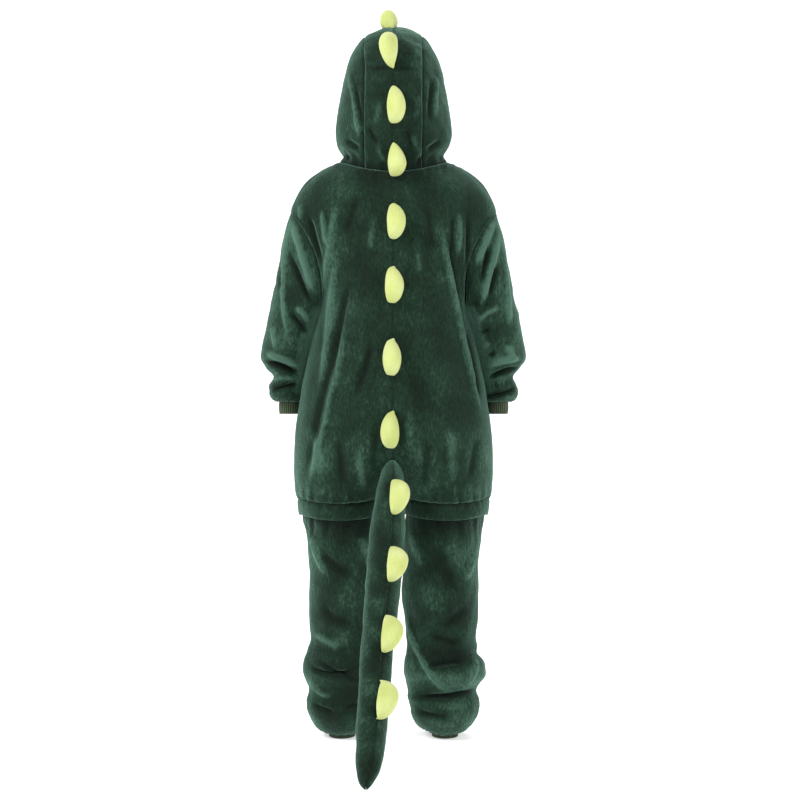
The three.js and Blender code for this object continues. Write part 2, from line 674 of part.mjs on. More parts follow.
// Front closing: a strip on both front panels, with buttons on it
function frontPoint(x, at, lift) {
  const level = bodyLevel(at, 1);
  const angle = Math.asin(Math.min(1, (Math.abs(x) - level.leg) * Math.sin(level.turn) / level.reach));
  const p = bodyAtAngle(level, angle, 1);
  p.x = x;
  p.y += lift;
  return p;
}
const stripLevels = steps(placket.first, placket.last, 13);
const stripAcross = steps(-placket.wide, placket.wide, 2);
const stripGrid = (lift) => stripLevels.map((at) => stripAcross.map((x) => frontPoint(x, at, lift)));
addMesh("placket", wall(stripGrid(placket.lift + cloth), stripGrid(placket.lift), false), plush);
button.rows.forEach((at, i) => {
  const low = frontPoint(0, at + 0.1, 0);
  const high = frontPoint(0, at - 0.1, 0);
  const tilt = Math.atan2(high.y - low.y, high.z - low.z);
  const disc = new THREE.CylinderGeometry(button.radius, button.radius, button.thick, 16);
  disc.rotateX(-tilt);
  const at0 = frontPoint(0, at, placket.lift + cloth + 1 + button.thick / 2);
  disc.translate(at0.x, at0.y, at0.z);
  addMesh(`button_${i + 1}`, disc, plastic);
});

export default model;
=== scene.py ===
# Child's plush dinosaur onesie in its worn shape, seen from behind
import math

import bmesh
import bpy
import numpy as np
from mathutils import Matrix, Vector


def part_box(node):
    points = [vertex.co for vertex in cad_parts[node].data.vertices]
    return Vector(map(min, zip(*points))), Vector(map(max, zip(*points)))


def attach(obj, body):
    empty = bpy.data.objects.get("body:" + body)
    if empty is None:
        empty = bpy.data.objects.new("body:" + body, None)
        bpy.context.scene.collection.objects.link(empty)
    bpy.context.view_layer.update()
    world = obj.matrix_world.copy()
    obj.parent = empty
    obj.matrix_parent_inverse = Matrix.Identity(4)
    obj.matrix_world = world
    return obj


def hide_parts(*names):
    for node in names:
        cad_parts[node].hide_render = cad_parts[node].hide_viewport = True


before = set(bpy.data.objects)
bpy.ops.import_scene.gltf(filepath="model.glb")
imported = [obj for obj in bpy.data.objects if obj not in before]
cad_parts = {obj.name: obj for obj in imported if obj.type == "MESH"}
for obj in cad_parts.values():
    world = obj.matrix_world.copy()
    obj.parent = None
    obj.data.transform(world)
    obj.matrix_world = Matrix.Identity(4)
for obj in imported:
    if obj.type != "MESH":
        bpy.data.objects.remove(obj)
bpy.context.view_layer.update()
print("frame loaded")

# Every table is in millimetres, with heights counted up from the ankle hems.
# The back faces -Y and the wearer's right is +X.
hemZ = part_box("ankle_cuff_left")[0][2]
scene = bpy.context.scene

view = {"side": 0.0116, "back": 2.8, "height": 0.6, "lens": 70.4}
cameraData = bpy.data.cameras.new("camera")
cameraData.lens = view["lens"]
cameraData.sensor_width = 36
camera = bpy.data.objects.new("camera", cameraData)
camera.location = (view["side"], -view["back"], hemZ + view["height"])
camera.rotation_euler = (math.pi / 2, 0, 0)
scene.collection.objects.link(camera)
scene.camera = camera


# ---- Shader maths ----

# Wraps a node's output, so that an expression on it adds Math nodes
class Value:
    def __init__(self, finish, socket):
        self.finish = finish
        self.socket = socket

    def math(self, operation, a, b):
        return self.finish.node("ShaderNodeMath", {"operation": operation}, {0: a, 1: b})

    def __add__(self, other):
        return self.math("ADD", self, other)

    def __sub__(self, other):
        return self.math("SUBTRACT", self, other)

    def __rsub__(self, other):
        return self.math("SUBTRACT", other, self)

    def __mul__(self, other):
        return self.math("MULTIPLY", self, other)

    __radd__, __rmul__ = __add__, __mul__


# One material: node() adds any node from its type, its settings and its sockets
class Finish:
    def __init__(self, name):
        self.material = bpy.data.materials.new(name)
        self.material.use_nodes = True
        self.tree = self.material.node_tree
        self.tree.nodes.clear()

    def node(self, kind, settings, inputs, out=0):
        made = self.tree.nodes.new(kind)
        for key, value in settings.items():
            if key == "stops":
                ramp = made.color_ramp
                while len(ramp.elements) < len(value):
                    ramp.elements.new(0.5)
                for element, (place, colour) in zip(ramp.elements, value):
                    element.position = place
                    element.color = (*colour, 1)
            else:
                setattr(made, key, value)
        for key, value in inputs.items():
            if isinstance(value, Value):
                self.tree.links.new(value.socket, made.inputs[key])
            else:
                made.inputs[key].default_value = value
        return Value(self, made.outputs[out])

    def coords(self, stretch=(1, 1, 1)):
        place = self.node("ShaderNodeTexCoord", {}, {}, "Object")
        return self.node("ShaderNodeMapping", {}, {"Vector": place, "Scale": stretch})

    def noise(self, place, scale, detail=2.0, rough=0.5, twist=0.0):
        return self.node("ShaderNodeTexNoise", {}, {"Vector": place, "Scale": scale, "Detail": detail,
                                                    "Roughness": rough, "Distortion": twist})

    def attribute(self, name):
        return self.node("ShaderNodeAttribute", {"attribute_name": name}, {}, "Fac")

    def ramp(self, value, stops):
        return self.node("ShaderNodeValToRGB", {"stops": stops}, {"Fac": value})

    def bump(self, height, distance, strength):
        return self.node("ShaderNodeBump", {}, {"Height": height, "Distance": distance,
                                                "Strength": strength})

    def shader(self, inputs):
        surface = self.node("ShaderNodeBsdfPrincipled", {}, inputs)
        output = self.tree.nodes.new("ShaderNodeOutputMaterial")
        self.tree.links.new(surface.socket, output.inputs["Surface"])
        return self.material


# Plush: short pile that lies in patches, with painted highlights on ridges and painted shade in folds and seams
# from the shade attribute
def plushFinish(name, look):
    finish = Finish(name)
    plain = finish.coords()
    hanging = finish.coords((1, 1, 0.45))
    pile = finish.noise(plain, 900, 2, 0.6)
    tuft = finish.noise(hanging, 260, 3, 0.6, 0.4)
    nap = finish.noise(hanging, 42, 4, 0.62, 0.6)
    broad = finish.noise(hanging, 11, 2, 0.5)
    shade = finish.attribute("shade")
    # shade is painted light and shade from the folds; nap, tuft, broad and pile are the plush's own random tone
    tone = (0.5 + shade * look["fold"] + (nap - 0.5) * look["nap"] + (tuft - 0.5) * look["tuft"]
            + (broad - 0.5) * look["broad"] + (pile - 0.5) * look["pile"])
    colour = finish.ramp(tone, look["stops"])
    normal = finish.bump(pile * 0.5 + tuft * 0.8, look["bump"], look["strength"])
    return finish.shader({"Base Color": colour, "Roughness": look["roughness"], "Normal": normal,
                          "Specular IOR Level": 0.15, "Sheen Weight": look["sheen"],
                          "Sheen Roughness": look["sheenRoughness"], "Sheen Tint": (*look["tint"], 1)})


# fold: how strongly the painted highlights and painted shade of the shade attribute show
greenLook = {
    "fold": 0.45, "nap": 0.34, "tuft": 0.75, "broad": 0.16, "pile": 0.45,
    "stops": [(0.0, (0.0015, 0.004, 0.0025)), (0.40, (0.0048, 0.0155, 0.008)),
              (0.62, (0.0105, 0.032, 0.018)), (1.0, (0.058, 0.125, 0.088))],
    "bump": 0.0024, "strength": 0.7, "roughness": 0.85,
    "sheen": 0.66, "sheenRoughness": 0.36, "tint": (0.34, 0.68, 0.52),
}
limeLook = {
    "fold": 0.3, "nap": 0.25, "tuft": 0.3, "broad": 0.2, "pile": 0.2,
    "stops": [(0.0, (0.36, 0.44, 0.08)), (0.45, (0.54, 0.60, 0.21)),
              (0.7, (0.60, 0.66, 0.30)), (1.0, (0.66, 0.69, 0.40))],
    "bump": 0.0012, "strength": 0.4, "roughness": 0.85,
    "sheen": 0.25, "sheenRoughness": 0.4, "tint": (1.0, 1.0, 0.8),
}


# Rib knit: the ribs are in the mesh, and the finish adds the small stitches, with painted shade in the grooves
# between the ribs and painted highlights on their crests
def ribFinish(look):
    finish = Finish("rib knit")
    plain = finish.coords()
    stitch = finish.noise(finish.coords((1, 1, 0.6)), 700, 2, 0.5)
    cloud = finish.noise(plain, 60, 2, 0.5)
    shade = finish.attribute("shade")
    tone = 0.5 + shade * look["fold"] + (stitch - 0.5) * 0.6 + (cloud - 0.5) * 0.4
    colour = finish.ramp(tone, look["stops"])
    normal = finish.bump(stitch, 0.0008, 0.6)
    return finish.shader({"Base Color": colour, "Roughness": 0.9, "Normal": normal,
                          "Specular IOR Level": 0.2, "Sheen Weight": 0.2})


# Button plastic: cloudy colour and fine scuffs
def plasticFinish(look):
    finish = Finish("button plastic")
    plain = finish.coords()
    cloud = finish.noise(plain, 120, 2, 0.5)
    scuff = finish.noise(plain, 900, 3, 0.6)
    colour = finish.ramp(cloud, look["stops"])
    return finish.shader({"Base Color": colour, "Roughness": 0.28 + scuff * 0.25,
                          "Normal": finish.bump(scuff, 0.0002, 0.2), "Specular IOR Level": 0.5})


greenPlush = plushFinish("green plush", greenLook)
limePlush = plushFinish("lime plush", limeLook)
ribKnit = ribFinish({"fold": 0.5, "stops": [(0.0, (0.012, 0.018, 0.009)), (0.5, (0.038, 0.058, 0.028)),
                                           (1.0, (0.085, 0.12, 0.065))]})
buttonPlastic = plasticFinish({"stops": [(0.0, (0.012, 0.03, 0.022)), (1.0, (0.03, 0.07, 0.05))]})
print("finishes ready")


# ---- Grids and meshes ----

# Cubic Hermite curve through the rows: each row's slope is half the step between its neighbours
def track(rows, at):
    rows = np.asarray(rows, float)
    at = np.asarray(at, float)
    last = len(rows) - 1
    k = np.clip(np.floor(at).astype(int), 0, last - 1)
    s = (at - k)[..., None]
    before, low, high, after = (rows[np.clip(k + i, 0, last)] for i in (-1, 0, 1, 2))
    riseLow = (high - before) / 2
    riseHigh = (after - low) / 2
    return (low * (2 * s**3 - 3 * s**2 + 1) + riseLow * (s**3 - 2 * s**2 + s)
            + high * (3 * s**2 - 2 * s**3) + riseHigh * (s**3 - s**2))


# 0 to 1 with flat ends: three t squared less two t cubed
def smooth(t):
    t = np.clip(t, 0, 1)
    return t * t * (3 - 2 * t)


# 1 at no distance, falling off as e to the minus square of distance over width
def bell(away, width):
    return np.exp(-(away / width)**2)


def roundAngles(count):
    return np.linspace(0, 2 * math.pi, count, endpoint=False)[None, :]


def unit(v):
    return v / np.maximum(np.linalg.norm(v, axis=-1, keepdims=True), 1e-9)


# Running length along one axis of a grid of points
def runLength(p, axis):
    steps = np.linalg.norm(np.diff(p, axis=axis), axis=-1)
    start = np.zeros_like(np.take(steps, [0], axis=axis))
    return np.cumsum(np.concatenate([start, steps], axis=axis), axis=axis)


# Parameter values at which a curve of points has count points evenly spaced along it
def evenly(p, at, count):
    length = runLength(p, 0)
    return np.interp(np.linspace(0, length[-1], count), length, at)


# Distances of a grid's points from its left, right, first and last edges
def edgeDistances(p):
    across = runLength(p, 1)
    along = runLength(p, 0)
    return across, across[:, -1:] - across, along, along[-1:] - along


# Outward normals: cross product of the grid's two directions, turned away from the middle points
def gridNormals(p, closed, middle):
    if closed:
        across = np.roll(p, -1, 1) - np.roll(p, 1, 1)
    else:
        across = np.gradient(p, axis=1)
    n = unit(np.cross(across, np.gradient(p, axis=0)))
    return n * (1 if np.sum(n * (p - middle)) > 0 else -1)


# Four-sided faces between each point of a grid and its next ones, numbered row by row
def gridFaces(rows, count, closed, start=0):
    cells = count if closed else count - 1
    v, u = np.meshgrid(np.arange(rows - 1), np.arange(cells), indexing="ij")
    a = start + v * count + u
    b = start + v * count + (u + 1) % count
    return np.stack([a, b, b + count, a + count], -1).reshape(-1, 4)


# A mesh object from points in millimetres, with its faces turned outwards by its signed volume
def addPiece(name, points, faces, shade, material, node):
    points = np.asarray(points, float) / 1000
    points[:, 2] += hemZ
    a, b, c, d = (points[faces[:, i]] for i in range(4))
    volume = np.sum(a * np.cross(b, c)) + np.sum(a * np.cross(c, d))
    if volume < 0:
        faces = faces[:, ::-1]
    mesh = bpy.data.meshes.new(name)
    mesh.from_pydata(points.tolist(), [], faces.tolist())
    mesh.attributes.new("shade", "FLOAT", "POINT").data.foreach_set(
        "value", np.asarray(shade, np.float32).ravel())
    mergePoints(mesh)
    mesh.shade_smooth()
    mesh.materials.append(material)
    piece = bpy.data.objects.new(name, mesh)
    scene.collection.objects.link(piece)
    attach(piece, "root")
    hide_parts(node)
    return piece


# Points that share a place, as at a pole, become one
def mergePoints(mesh):
    work = bmesh.new()
    work.from_mesh(mesh)
    bmesh.ops.remove_doubles(work, verts=work.verts, dist=2e-6)
    bmesh.ops.dissolve_degenerate(work, edges=work.edges, dist=1e-7)
    work.to_mesh(mesh)
    work.free()


# Makes each piece for the wearer's right and then for the left
def bothSides(makers):
    for sideName, side in (("right", 1), ("left", -1)):
        for make, name, node, *rest in makers:
            make(f"{name}_{sideName}", f"{node}_{sideName}", side, *rest)


# Wall, how much deeper and narrower folds are than their tables say, the painted shade on the inside wall, and
# how far the allowances at a middle seam reach past it, outside and inside
cloth = {"thickness": 2.8, "deepen": 1.7, "crisp": 0.72, "insideShade": -0.25, "overlap": (0.03, 0.25)}


# A cloth wall: the outer grid, the same grid moved inwards by the cloth's thickness, and its edges
def addCloth(name, outer, inner, shade, closed, node, material=greenPlush):
    rows, count = outer.shape[:2]
    size = rows * count
    grid = np.arange(size).reshape(rows, count)
    faces = [gridFaces(rows, count, closed), gridFaces(rows, count, closed, size)[:, ::-1]]

    def rim(line):
        a, b = line[:-1], line[1:]
        return np.stack([b, a, a + size, b + size], -1)

    if closed:
        first = np.append(grid[0], grid[0, 0])
        last = np.append(grid[-1], grid[-1, 0])
        faces += [rim(first), rim(last[::-1])]
    else:
        loop = np.concatenate([grid[0], grid[1:, -1], grid[-1, -2::-1], grid[-2::-1, 0]])
        faces.append(rim(loop))
    points = np.concatenate([outer.reshape(-1, 3), inner.reshape(-1, 3)])
    tones = np.concatenate([shade.ravel(), np.full(size, cloth["insideShade"])])
    piece = addPiece(name, points, np.concatenate(faces), tones, material, node)


# ---- Folds ----

# Sum of soft ridges (height above 0) and troughs (below 0). Each follows a bowed line in the XZ
# plane and falls off as a bell curve, with its width times skew, where given, on its other side.
def foldField(x, z, rows):
    total = np.zeros_like(x)
    for x0, z0, x1, z1, bow, width, height, *skew in rows:
        dx, dz = x1 - x0, z1 - z0
        length = math.hypot(dx, dz)
        t = ((x - x0) * dx + (z - z0) * dz) / length**2
        off = ((z - z0) * dx - (x - x0) * dz) / length - bow * 4 * t * (1 - t)
        ends = smooth(t / 0.3) * smooth((1 - t) / 0.3)
        reach = cloth["crisp"] * np.where(off > 0, width * skew[0] if skew else width, width)
        total += height * bell(off, reach) * ends
    return total


# Creases that wrap a tube: bell-shaped rings round a slanting plane, strongest towards one side
def wrapField(x, z, angle, rows):
    total = np.zeros_like(x)
    for height, slope, width, depth, towards in rows:
        off = (z - height - slope * x) / width
        reach = 0.25 + 0.75 * (0.5 + 0.5 * np.cos(angle - math.radians(towards)))
        total += depth * np.exp(-off * off) * reach
    return total


# Low waves in the cloth: a few sine waves in random directions
def ripple(p, seed, wave, count=9):
    rng = np.random.default_rng(seed)
    ways = unit(rng.normal(size=(count, 3)))
    waves = 2 * np.pi / (wave * rng.uniform(0.7, 1.6, count))
    phases = rng.uniform(0, 2 * np.pi, count)
    return np.sin(p @ ways.T * waves + phases).sum(-1) / math.sqrt(count)


# Small gathers along an edge: narrow waves along the edge that die away from it
def gathers(arc, away, seed, wave, reach, height):
    rng = np.random.default_rng(seed)
    total = np.zeros_like(arc)
    for _ in range(5):
        total += np.sin(2 * np.pi * arc / (wave * rng.uniform(0.7, 1.7)) + rng.uniform(0, 6.28))
    return height * total / math.sqrt(5) * bell(away, reach)


# A seam pulls the cloth in as a bell curve of the distance from it
def groove(away, depth=1.7, width=3.2):
    return -depth * bell(away, width)


# Carries the first column of a wall past the middle seam, so that no light comes through it
def overlap(outer, inner, side):
    outside, inside = cloth["overlap"]
    outer[:, 0, 0], inner[:, 0, 0] = side * outside, -side * inside


# Folds of the back, on the body and on both sleeves: x, z, x, z, bow, width, height, skew if any
backFolds = [
    # left sleeve
    (-179, 928, -138, 780, 0, 9, 4.5, 0.8), (-188, 868, -140, 762, 0, 6, -4.0),
    (-181, 921, -180, 690, -14, 6, 3.0), (-214, 733, -207, 688, 0, 5, 2.4),
    (-184, 757, -140, 708, 0, 6, -4.0), (-172, 768, -146, 735, 0, 8, 3.0),
    (-229, 685, -160, 659, 0, 7, 4.4), (-233, 671, -155, 645, 0, 5.5, -6.5),
    (-223, 617, -160, 633, 0, 5.5, -4.6), (-222, 634, -170, 640, 3, 6, 2.6),
    (-205, 850, -200, 790, 0, 7, -2.0),
    # left of the back
    (-95, 866, -126, 592, 0, 10, 4.0, 0.7), (-74, 810, -107, 640, -2, 9, -3.4),
    (-83, 729, -102, 604, 0, 7, 2.6), (-38, 705, -69, 604, 6, 9, -2.8),
    (-123, 936, -112, 864, 0, 8, 4.5, 0.4), (-152, 932, -122, 830, 0, 7, -4.2),
    (-162, 946, -161, 915, 0, 7, 2.6), (-100, 952, -122, 788, 3, 8, 3.4),
    (-91, 680, -146, 447, 3, 7, 3.2, 0.5), (-104, 690, -156, 450, 0, 9, -2.6),
    (-60, 960, -84, 880, 0, 9, -2.2), (-30, 930, -42, 850, 0, 10, 1.8),
    # right of the back
    (78, 921, 155, 565, 0, 9, 6.5, 0.42), (92, 900, 160, 590, -9, 6, -3.0),
    (129, 947, 129, 732, 0, 5, -3.2), (129, 736, 152, 600, 0, 6, -3.4),
    (113, 931, 110, 845, 3, 6, 3.4, 0.8), (104, 926, 100, 850, 0, 5, -2.6),
    (60, 940, 66, 850, 0, 9, -2.2), (36, 900, 50, 800, 0, 10, 1.6),
    # right sleeve
    (179, 928, 142, 828, 0, 9, 4.5), (167, 874, 153, 803, 0, 6, -4.0),
    (185, 905, 147, 745, 4, 7, 3.8), (183, 844, 166, 778, 0, 6, -3.6),
    (191, 893, 204, 716, 3, 6, 2.8), (141, 733, 191, 765, 4, 6, 3.2),
    (141, 714, 173, 726, 0, 5, -3.4), (143, 692, 175, 702, 0, 5, 2.6),
    (151, 671, 184, 686, 0, 5, -3.2), (150, 636, 228, 657, 2, 5.5, -6.5),
    (155, 611, 223, 624, -6, 5.5, -4.6), (160, 660, 232, 676, 2, 7, 3.6),
    (200, 700, 214, 668, 0, 7, 2.6),
    # low down, above the bands
    (-150, 560, -120, 470, 4, 12, 2.4), (-96, 540, -84, 448, 0, 10, -2.4),
    (-60, 520, -50, 440, 0, 8, 2.2), (60, 540, 52, 445, 0, 9, -2.2),
    (96, 560, 104, 450, 0, 11, 2.2), (146, 540, 130, 455, 0, 9, -2.4),
    (-28, 560, -34, 470, 0, 8, -1.8), (30, 600, 26, 500, 0, 9, 1.6),
]
# Folds of the front, of the same kinds
frontFolds = [
    (-176, 925, -140, 785, 0, 9, 4.0, 0.8), (-186, 862, -142, 768, 0, 6, -3.6),
    (-110, 930, -100, 840, 0, 8, 3.6, 0.5), (-62, 900, -90, 700, 3, 10, 3.2, 0.7),
    (-84, 800, -112, 640, 0, 9, -3.0), (-45, 700, -60, 600, 0, 9, -2.2),
    (-126, 720, -140, 590, 0, 9, 3.0), (-130, 940, -118, 860, 0, 6, -3.0),
    (176, 925, 143, 792, 0, 9, 4.0), (186, 858, 150, 770, 0, 6, -3.6),
    (104, 925, 98, 835, 0, 8, 3.6, 0.5), (66, 905, 104, 650, -3, 10, 3.6, 0.5),
    (88, 780, 120, 610, 0, 8, -3.0), (44, 720, 58, 600, 0, 9, -2.0),
    (126, 930, 118, 850, 0, 6, -3.0), (130, 700, 146, 580, 0, 9, 2.6),
    (-184, 757, -146, 712, 0, 6, -3.6), (-228, 681, -164, 658, 0, 7, 3.2),
    (-230, 666, -160, 642, 0, 5, -4.0), (184, 752, 146, 716, 0, 6, -3.6),
    (228, 676, 166, 656, 0, 7, 3.2), (228, 660, 160, 640, 0, 5, -4.0),
    (-140, 550, -118, 465, 0, 11, 2.4), (-86, 530, -80, 445, 0, 9, -2.4),
    (-50, 540, -44, 450, 0, 9, 2.0), (56, 530, 50, 445, 0, 9, -2.2),
    (100, 545, 98, 450, 0, 10, 2.4), (140, 540, 124, 455, 0, 9, -2.2),
]
legFolds = [
    (-146, 366, -115, 290, 0, 7, 3.4), (-134, 335, -66, 290, 0, 12, -2.6),
    (-153, 134, -60, 134, -11, 6, -4.4), (-146, 113, -104, 78, -8, 6, 3.4),
    (-136, 145, -58, 108, 0, 5, -3.2), (-60, 370, -36, 300, 0, 9, 2.4),
    (-128, 240, -70, 205, -4, 12, -2.0), (-140, 190, -90, 168, 0, 9, 2.4),
    (-90, 60, -44, 72, 0, 6, -2.8), (-145, 66, -100, 52, 0, 6, -3.0),
    (22, 226, 103, 86, -14, 7, 4.6, 0.6), (148, 145, 126, 104, 0, 6, 3.4),
    (148, 342, 122, 280, 0, 8, 3.2), (38, 78, 149, 89, 0, 6, -4.4),
    (30, 372, 54, 300, 0, 9, 2.2), (130, 240, 84, 200, 0, 12, -2.0),
    (60, 190, 120, 172, 0, 9, -2.6), (52, 130, 128, 142, 5, 7, -3.4),
    (40, 52, 100, 46, 0, 6, -2.6), (70, 350, 110, 260, 0, 14, -2.0),
]


# What the folds do to a piece of cloth: weighted by how squarely its surface faces back or front
def clothFolds(p, n, back, front):
    x, z = p[..., 0], p[..., 2]
    return cloth["deepen"] * (foldField(x, z, back) * smooth(-n[..., 1] * 1.7)
                              + foldField(x, z, front) * smooth(n[..., 1] * 1.7))


# Moves a grid out by push and makes its inner side; the shade is painted from what ripples and folds add up to:
# a painted highlight on ridges, painted shade in troughs and seam grooves
def pushed(p, n, push, thickness=cloth["thickness"]):
    outer = p + n * push[..., None]
    inner = p + n * (push - thickness)[..., None]
    return outer, inner, np.tanh(push / 5)


# ---- Body ----
# side, back and front heights, half width, depth behind and before, sideways shift of a leg
body = {
    "rows": [
        (1024, 1000, 962, 98, 68, 62, 0), (1013, 984, 948, 125, 81, 74, 0),
        (990, 964, 931, 157, 91, 84, 0), (963, 942, 913, 174, 97, 90, 0),
        (934, 919, 895, 184, 102, 94, 0), (905, 895, 877, 168, 106, 97, 0),
        (868, 862, 852, 140, 110, 100, 0), (828, 826, 822, 130, 113, 102, 0),
        (792, 792, 791, 129, 115, 104, 0), (760, 760, 760, 130, 116, 105, 0),
        (725, 725, 725, 141, 117, 106, 0), (684, 684, 684, 150, 118, 107, 0),
        (634, 634, 634, 161, 119, 108, 2), (590, 590, 590, 169, 120, 108, 12),
        (550, 550, 550, 175, 121, 108, 28), (512, 512, 512, 178, 121, 107, 48),
        (478, 478, 478, 178, 118, 105, 68), (452, 452, 452, 177, 112, 101, 83),
        (434, 434, 434, 175, 104, 95, 91), (420.3, 420.3, 420.3, 172, 97, 88, 93.5),
    ],
    "armhole": {"topX": 184, "topZ": 934, "lowX": 130, "lowZ": 760, "deep": 68, "bow": 23, "turn": 36},
    "seamHalf": 0.15,
    "grid": (196, 74),  # rows and columns of each panel
    "hem": {"z": 420, "legX": 93.5, "half": 78.5, "riseBack": 7.5, "riseFront": 3.5, "reach": 55},
    "tailRoot": {"z": 445, "high": 45, "half": 40},  # where the back lies flat under the tail
    "underSleeve": {"low": 600, "high": 772, "reach": 25, "lift": 0.8},
    "paleBelow": 590,
}


# One level of the body: its rim point at the side or armhole, and the arc from there to the spine
def bodyLevel(at, face):
    side, back, front, wide, deep, belly, leg = np.moveaxis(track(body["rows"], at), -1, 0)
    hole = body["armhole"]
    inHole = (side < hole["topZ"]) & (side > hole["lowZ"])
    halfZ = (hole["topZ"] - hole["lowZ"]) / 2
    cos = np.clip((side - hole["lowZ"] - halfZ) / halfZ, -1, 1)
    sin = np.sqrt(1 - cos * cos)
    holeX = (hole["topX"] + hole["lowX"] + (hole["topX"] - hole["lowX"]) * cos) / 2 - hole["bow"] * sin**2
    rimX = np.where(inHole, holeX, wide)
    rimY = np.where(inHole, hole["deep"] * sin, 0)
    turn = np.radians(90 - hole["turn"] * rimY / hole["deep"])
    reach = rimX - leg
    start = -np.arcsin(np.minimum(1, leg / reach * np.sin(turn)))
    depth, middle = (deep, back) if face < 0 else (belly, front)
    return side, middle, depth, leg, rimX, rimY, turn, reach, start


# x runs as the sine and y as the cosine of the arc's angle; z sinks from the side to the middle
# with the square of x over the rim's x
def bodyArc(level, angle, face):
    side, middle, depth, leg, rimX, rimY, turn, reach, start = level
    x = leg + reach * np.sin(angle) / np.sin(turn)
    fall = (np.cos(angle) - np.cos(turn)) / (1 - np.cos(turn))
    y = rimY + (depth - rimY) * fall
    z = middle + (side - middle) * np.clip(x / rimX, 0, 1)**2
    gap = body["seamHalf"]
    return np.stack([x + gap, face * (y + gap), z], -1)


# u runs from the spine or the middle of a leg's inside, at 0, to the side, at 1
def bodyPoints(u, at, face):
    level = bodyLevel(at, face)
    start, turn = level[8], level[6]
    return bodyArc(level, start + (turn - start) * u, face)


# How far the bag's hem rises at both sides of each leg, as x squared, so that it sags in the middle
def hemRise(p):
    hem = body["hem"]
    most = np.where(p[..., 1] < 0, hem["riseBack"], hem["riseFront"])
    return most * np.clip(((np.abs(p[..., 0]) - hem["legX"]) / hem["half"])**2, 0, 1)


# Rounds off the kinks that run across a panel from the ends of its armhole: a running mean up and
# down each column, which fades out towards the panel's edges
def levelled(p):
    _, edge, neck, hem = edgeDistances(p)
    weight = (smooth(edge / 18) * smooth(neck / 25) * smooth(hem / 25))[..., None]
    for _ in range(5):
        padded = np.pad(p, ((5, 5), (0, 0), (0, 0)), "edge")
        mean = sum(padded[i:i + len(p)] for i in range(11)) / 11
        p = p + (mean - p) * weight
    return p


# A quarter of the body: its surface pushed out by folds, ripples and gathers, and in at the seams
def bodyPanel(name, node, side, face):
    rows, columns = body["grid"]
    fine = np.linspace(0, len(body["rows"]) - 1, 1500)
    at = evenly(bodyPoints(np.full(1500, 0.75), fine, face), fine, rows)[:, None]
    u = np.linspace(0, 1, columns)[None, :]
    p = levelled(bodyPoints(u, at, face) * (side, 1, 1))
    p[..., 2] += hemRise(p) * bell(p[..., 2] - body["hem"]["z"], body["hem"]["reach"])
    n = gridNormals(p, False, p * (0.3, 0, 1))
    spine, edge, neck, hem = edgeDistances(p)
    x, z = np.abs(p[..., 0]), p[..., 2]
    held = (0.2 + 0.8 * smooth(edge / 14)) * smooth(neck / 18) * (0.25 + 0.75 * smooth(hem / 20))
    calm = 1.0 if face < 0 else smooth((x - 19) / 16)
    root, under = body["tailRoot"], body["underSleeve"]
    tailRoom = 1 - np.exp(-(x / root["half"])**2 - ((z - root["z"]) / root["high"])**2) if face < 0 else 1.0
    push = clothFolds(p, n, backFolds, frontFolds) * held
    push += ripple(p, 3, 95) * 1.1 * (0.45 + 0.55 * smooth(x / 30)) * held + ripple(p, 4, 34) * 0.35 * held
    push = push * calm * tailRoom
    push += gathers(p[..., 0], neck, 11, 17, 26, 1.0) * calm * smooth(neck / 8)
    push += gathers(x, hem, 12, 15, 24, 1.3) * tailRoom
    touching = smooth((z - under["low"]) / 20) * smooth((under["high"] - z) / 20) * bell(edge, under["reach"])
    push += (under["lift"] - push) * touching
    push += groove(edge, 0.8) * (1 - touching) + groove(hem, 1.2, 3)
    if face < 0:
        push += groove(spine, 1.3, 2.6)
    outer, inner, shade = pushed(p, n, push)
    inner[..., 0] = side * np.maximum(side * inner[..., 0], body["seamHalf"])
    inner[..., 1] = face * np.maximum(face * inner[..., 1], body["seamHalf"])
    overlap(outer, inner, side)
    # Painted shade below the neck seam under the hood and at the gathered hem; lighter below the waist
    dark = 0.8 * bell(neck, 26) + 0.25 * bell(hem, 14) - 0.28 * smooth((body["paleBelow"] - z) / 90)
    addCloth(name, outer, inner, shade - dark, False, node)


bothSides([(bodyPanel, "plush_back", "back", -1)])
bothSides([(bodyPanel, "plush_front", "front", 1)])
print("body panels made")

# ---- Sleeves, legs, bands and cuffs ----
# outer and inner end of each ring (x, z), forward shift, half depth, what is left of the armhole's bow
sleeve = {
    "rows": [
        (184, 934, 130, 760, 0, 68, 23), (197, 884, 138, 744, 2, 66, 17), (207, 835, 143, 726, 5, 62, 10),
        (217, 785, 147.5, 706, 9, 58, 4), (227, 737, 152.5, 684, 14, 54, 0), (236, 698, 157, 662, 19, 51, 0),
        (239, 674, 160, 646, 23, 48, 0), (231, 655, 163, 634, 26, 43, 0), (217, 637, 166, 621, 29, 36, 0),
        (226, 620, 165, 608, 32, 38, 0), (225, 603, 163, 599, 34, 38, 0), (217, 593, 163.5, 592, 36, 31, 0),
        (209, 591, 166.4, 591, 37, 25, 0),
    ],
    "clear": (0.5, 0, -0.2),
    "grid": (112, 104),
    "rideUp": {"below": 695, "over": 70, "by": 6},  # the bagged end rides up on the cuff
    "against": {"low": 600, "high": 775, "lift": 3.3},  # where it rests against the body
    "wraps": {
        1: [(655, 0.02, 6, -2.4, 90), (726, 0.30, 7, -2.2, 120), (700, 0.25, 8, 1.8, 90),
            (626, 0.0, 5, -2.0, 60)],
        -1: [(652, -0.05, 6, -2.4, 90), (735, -0.35, 7, -2.2, 110), (708, -0.30, 8, 1.8, 90),
             (628, 0.05, 5, -2.0, 60)],
    },
}
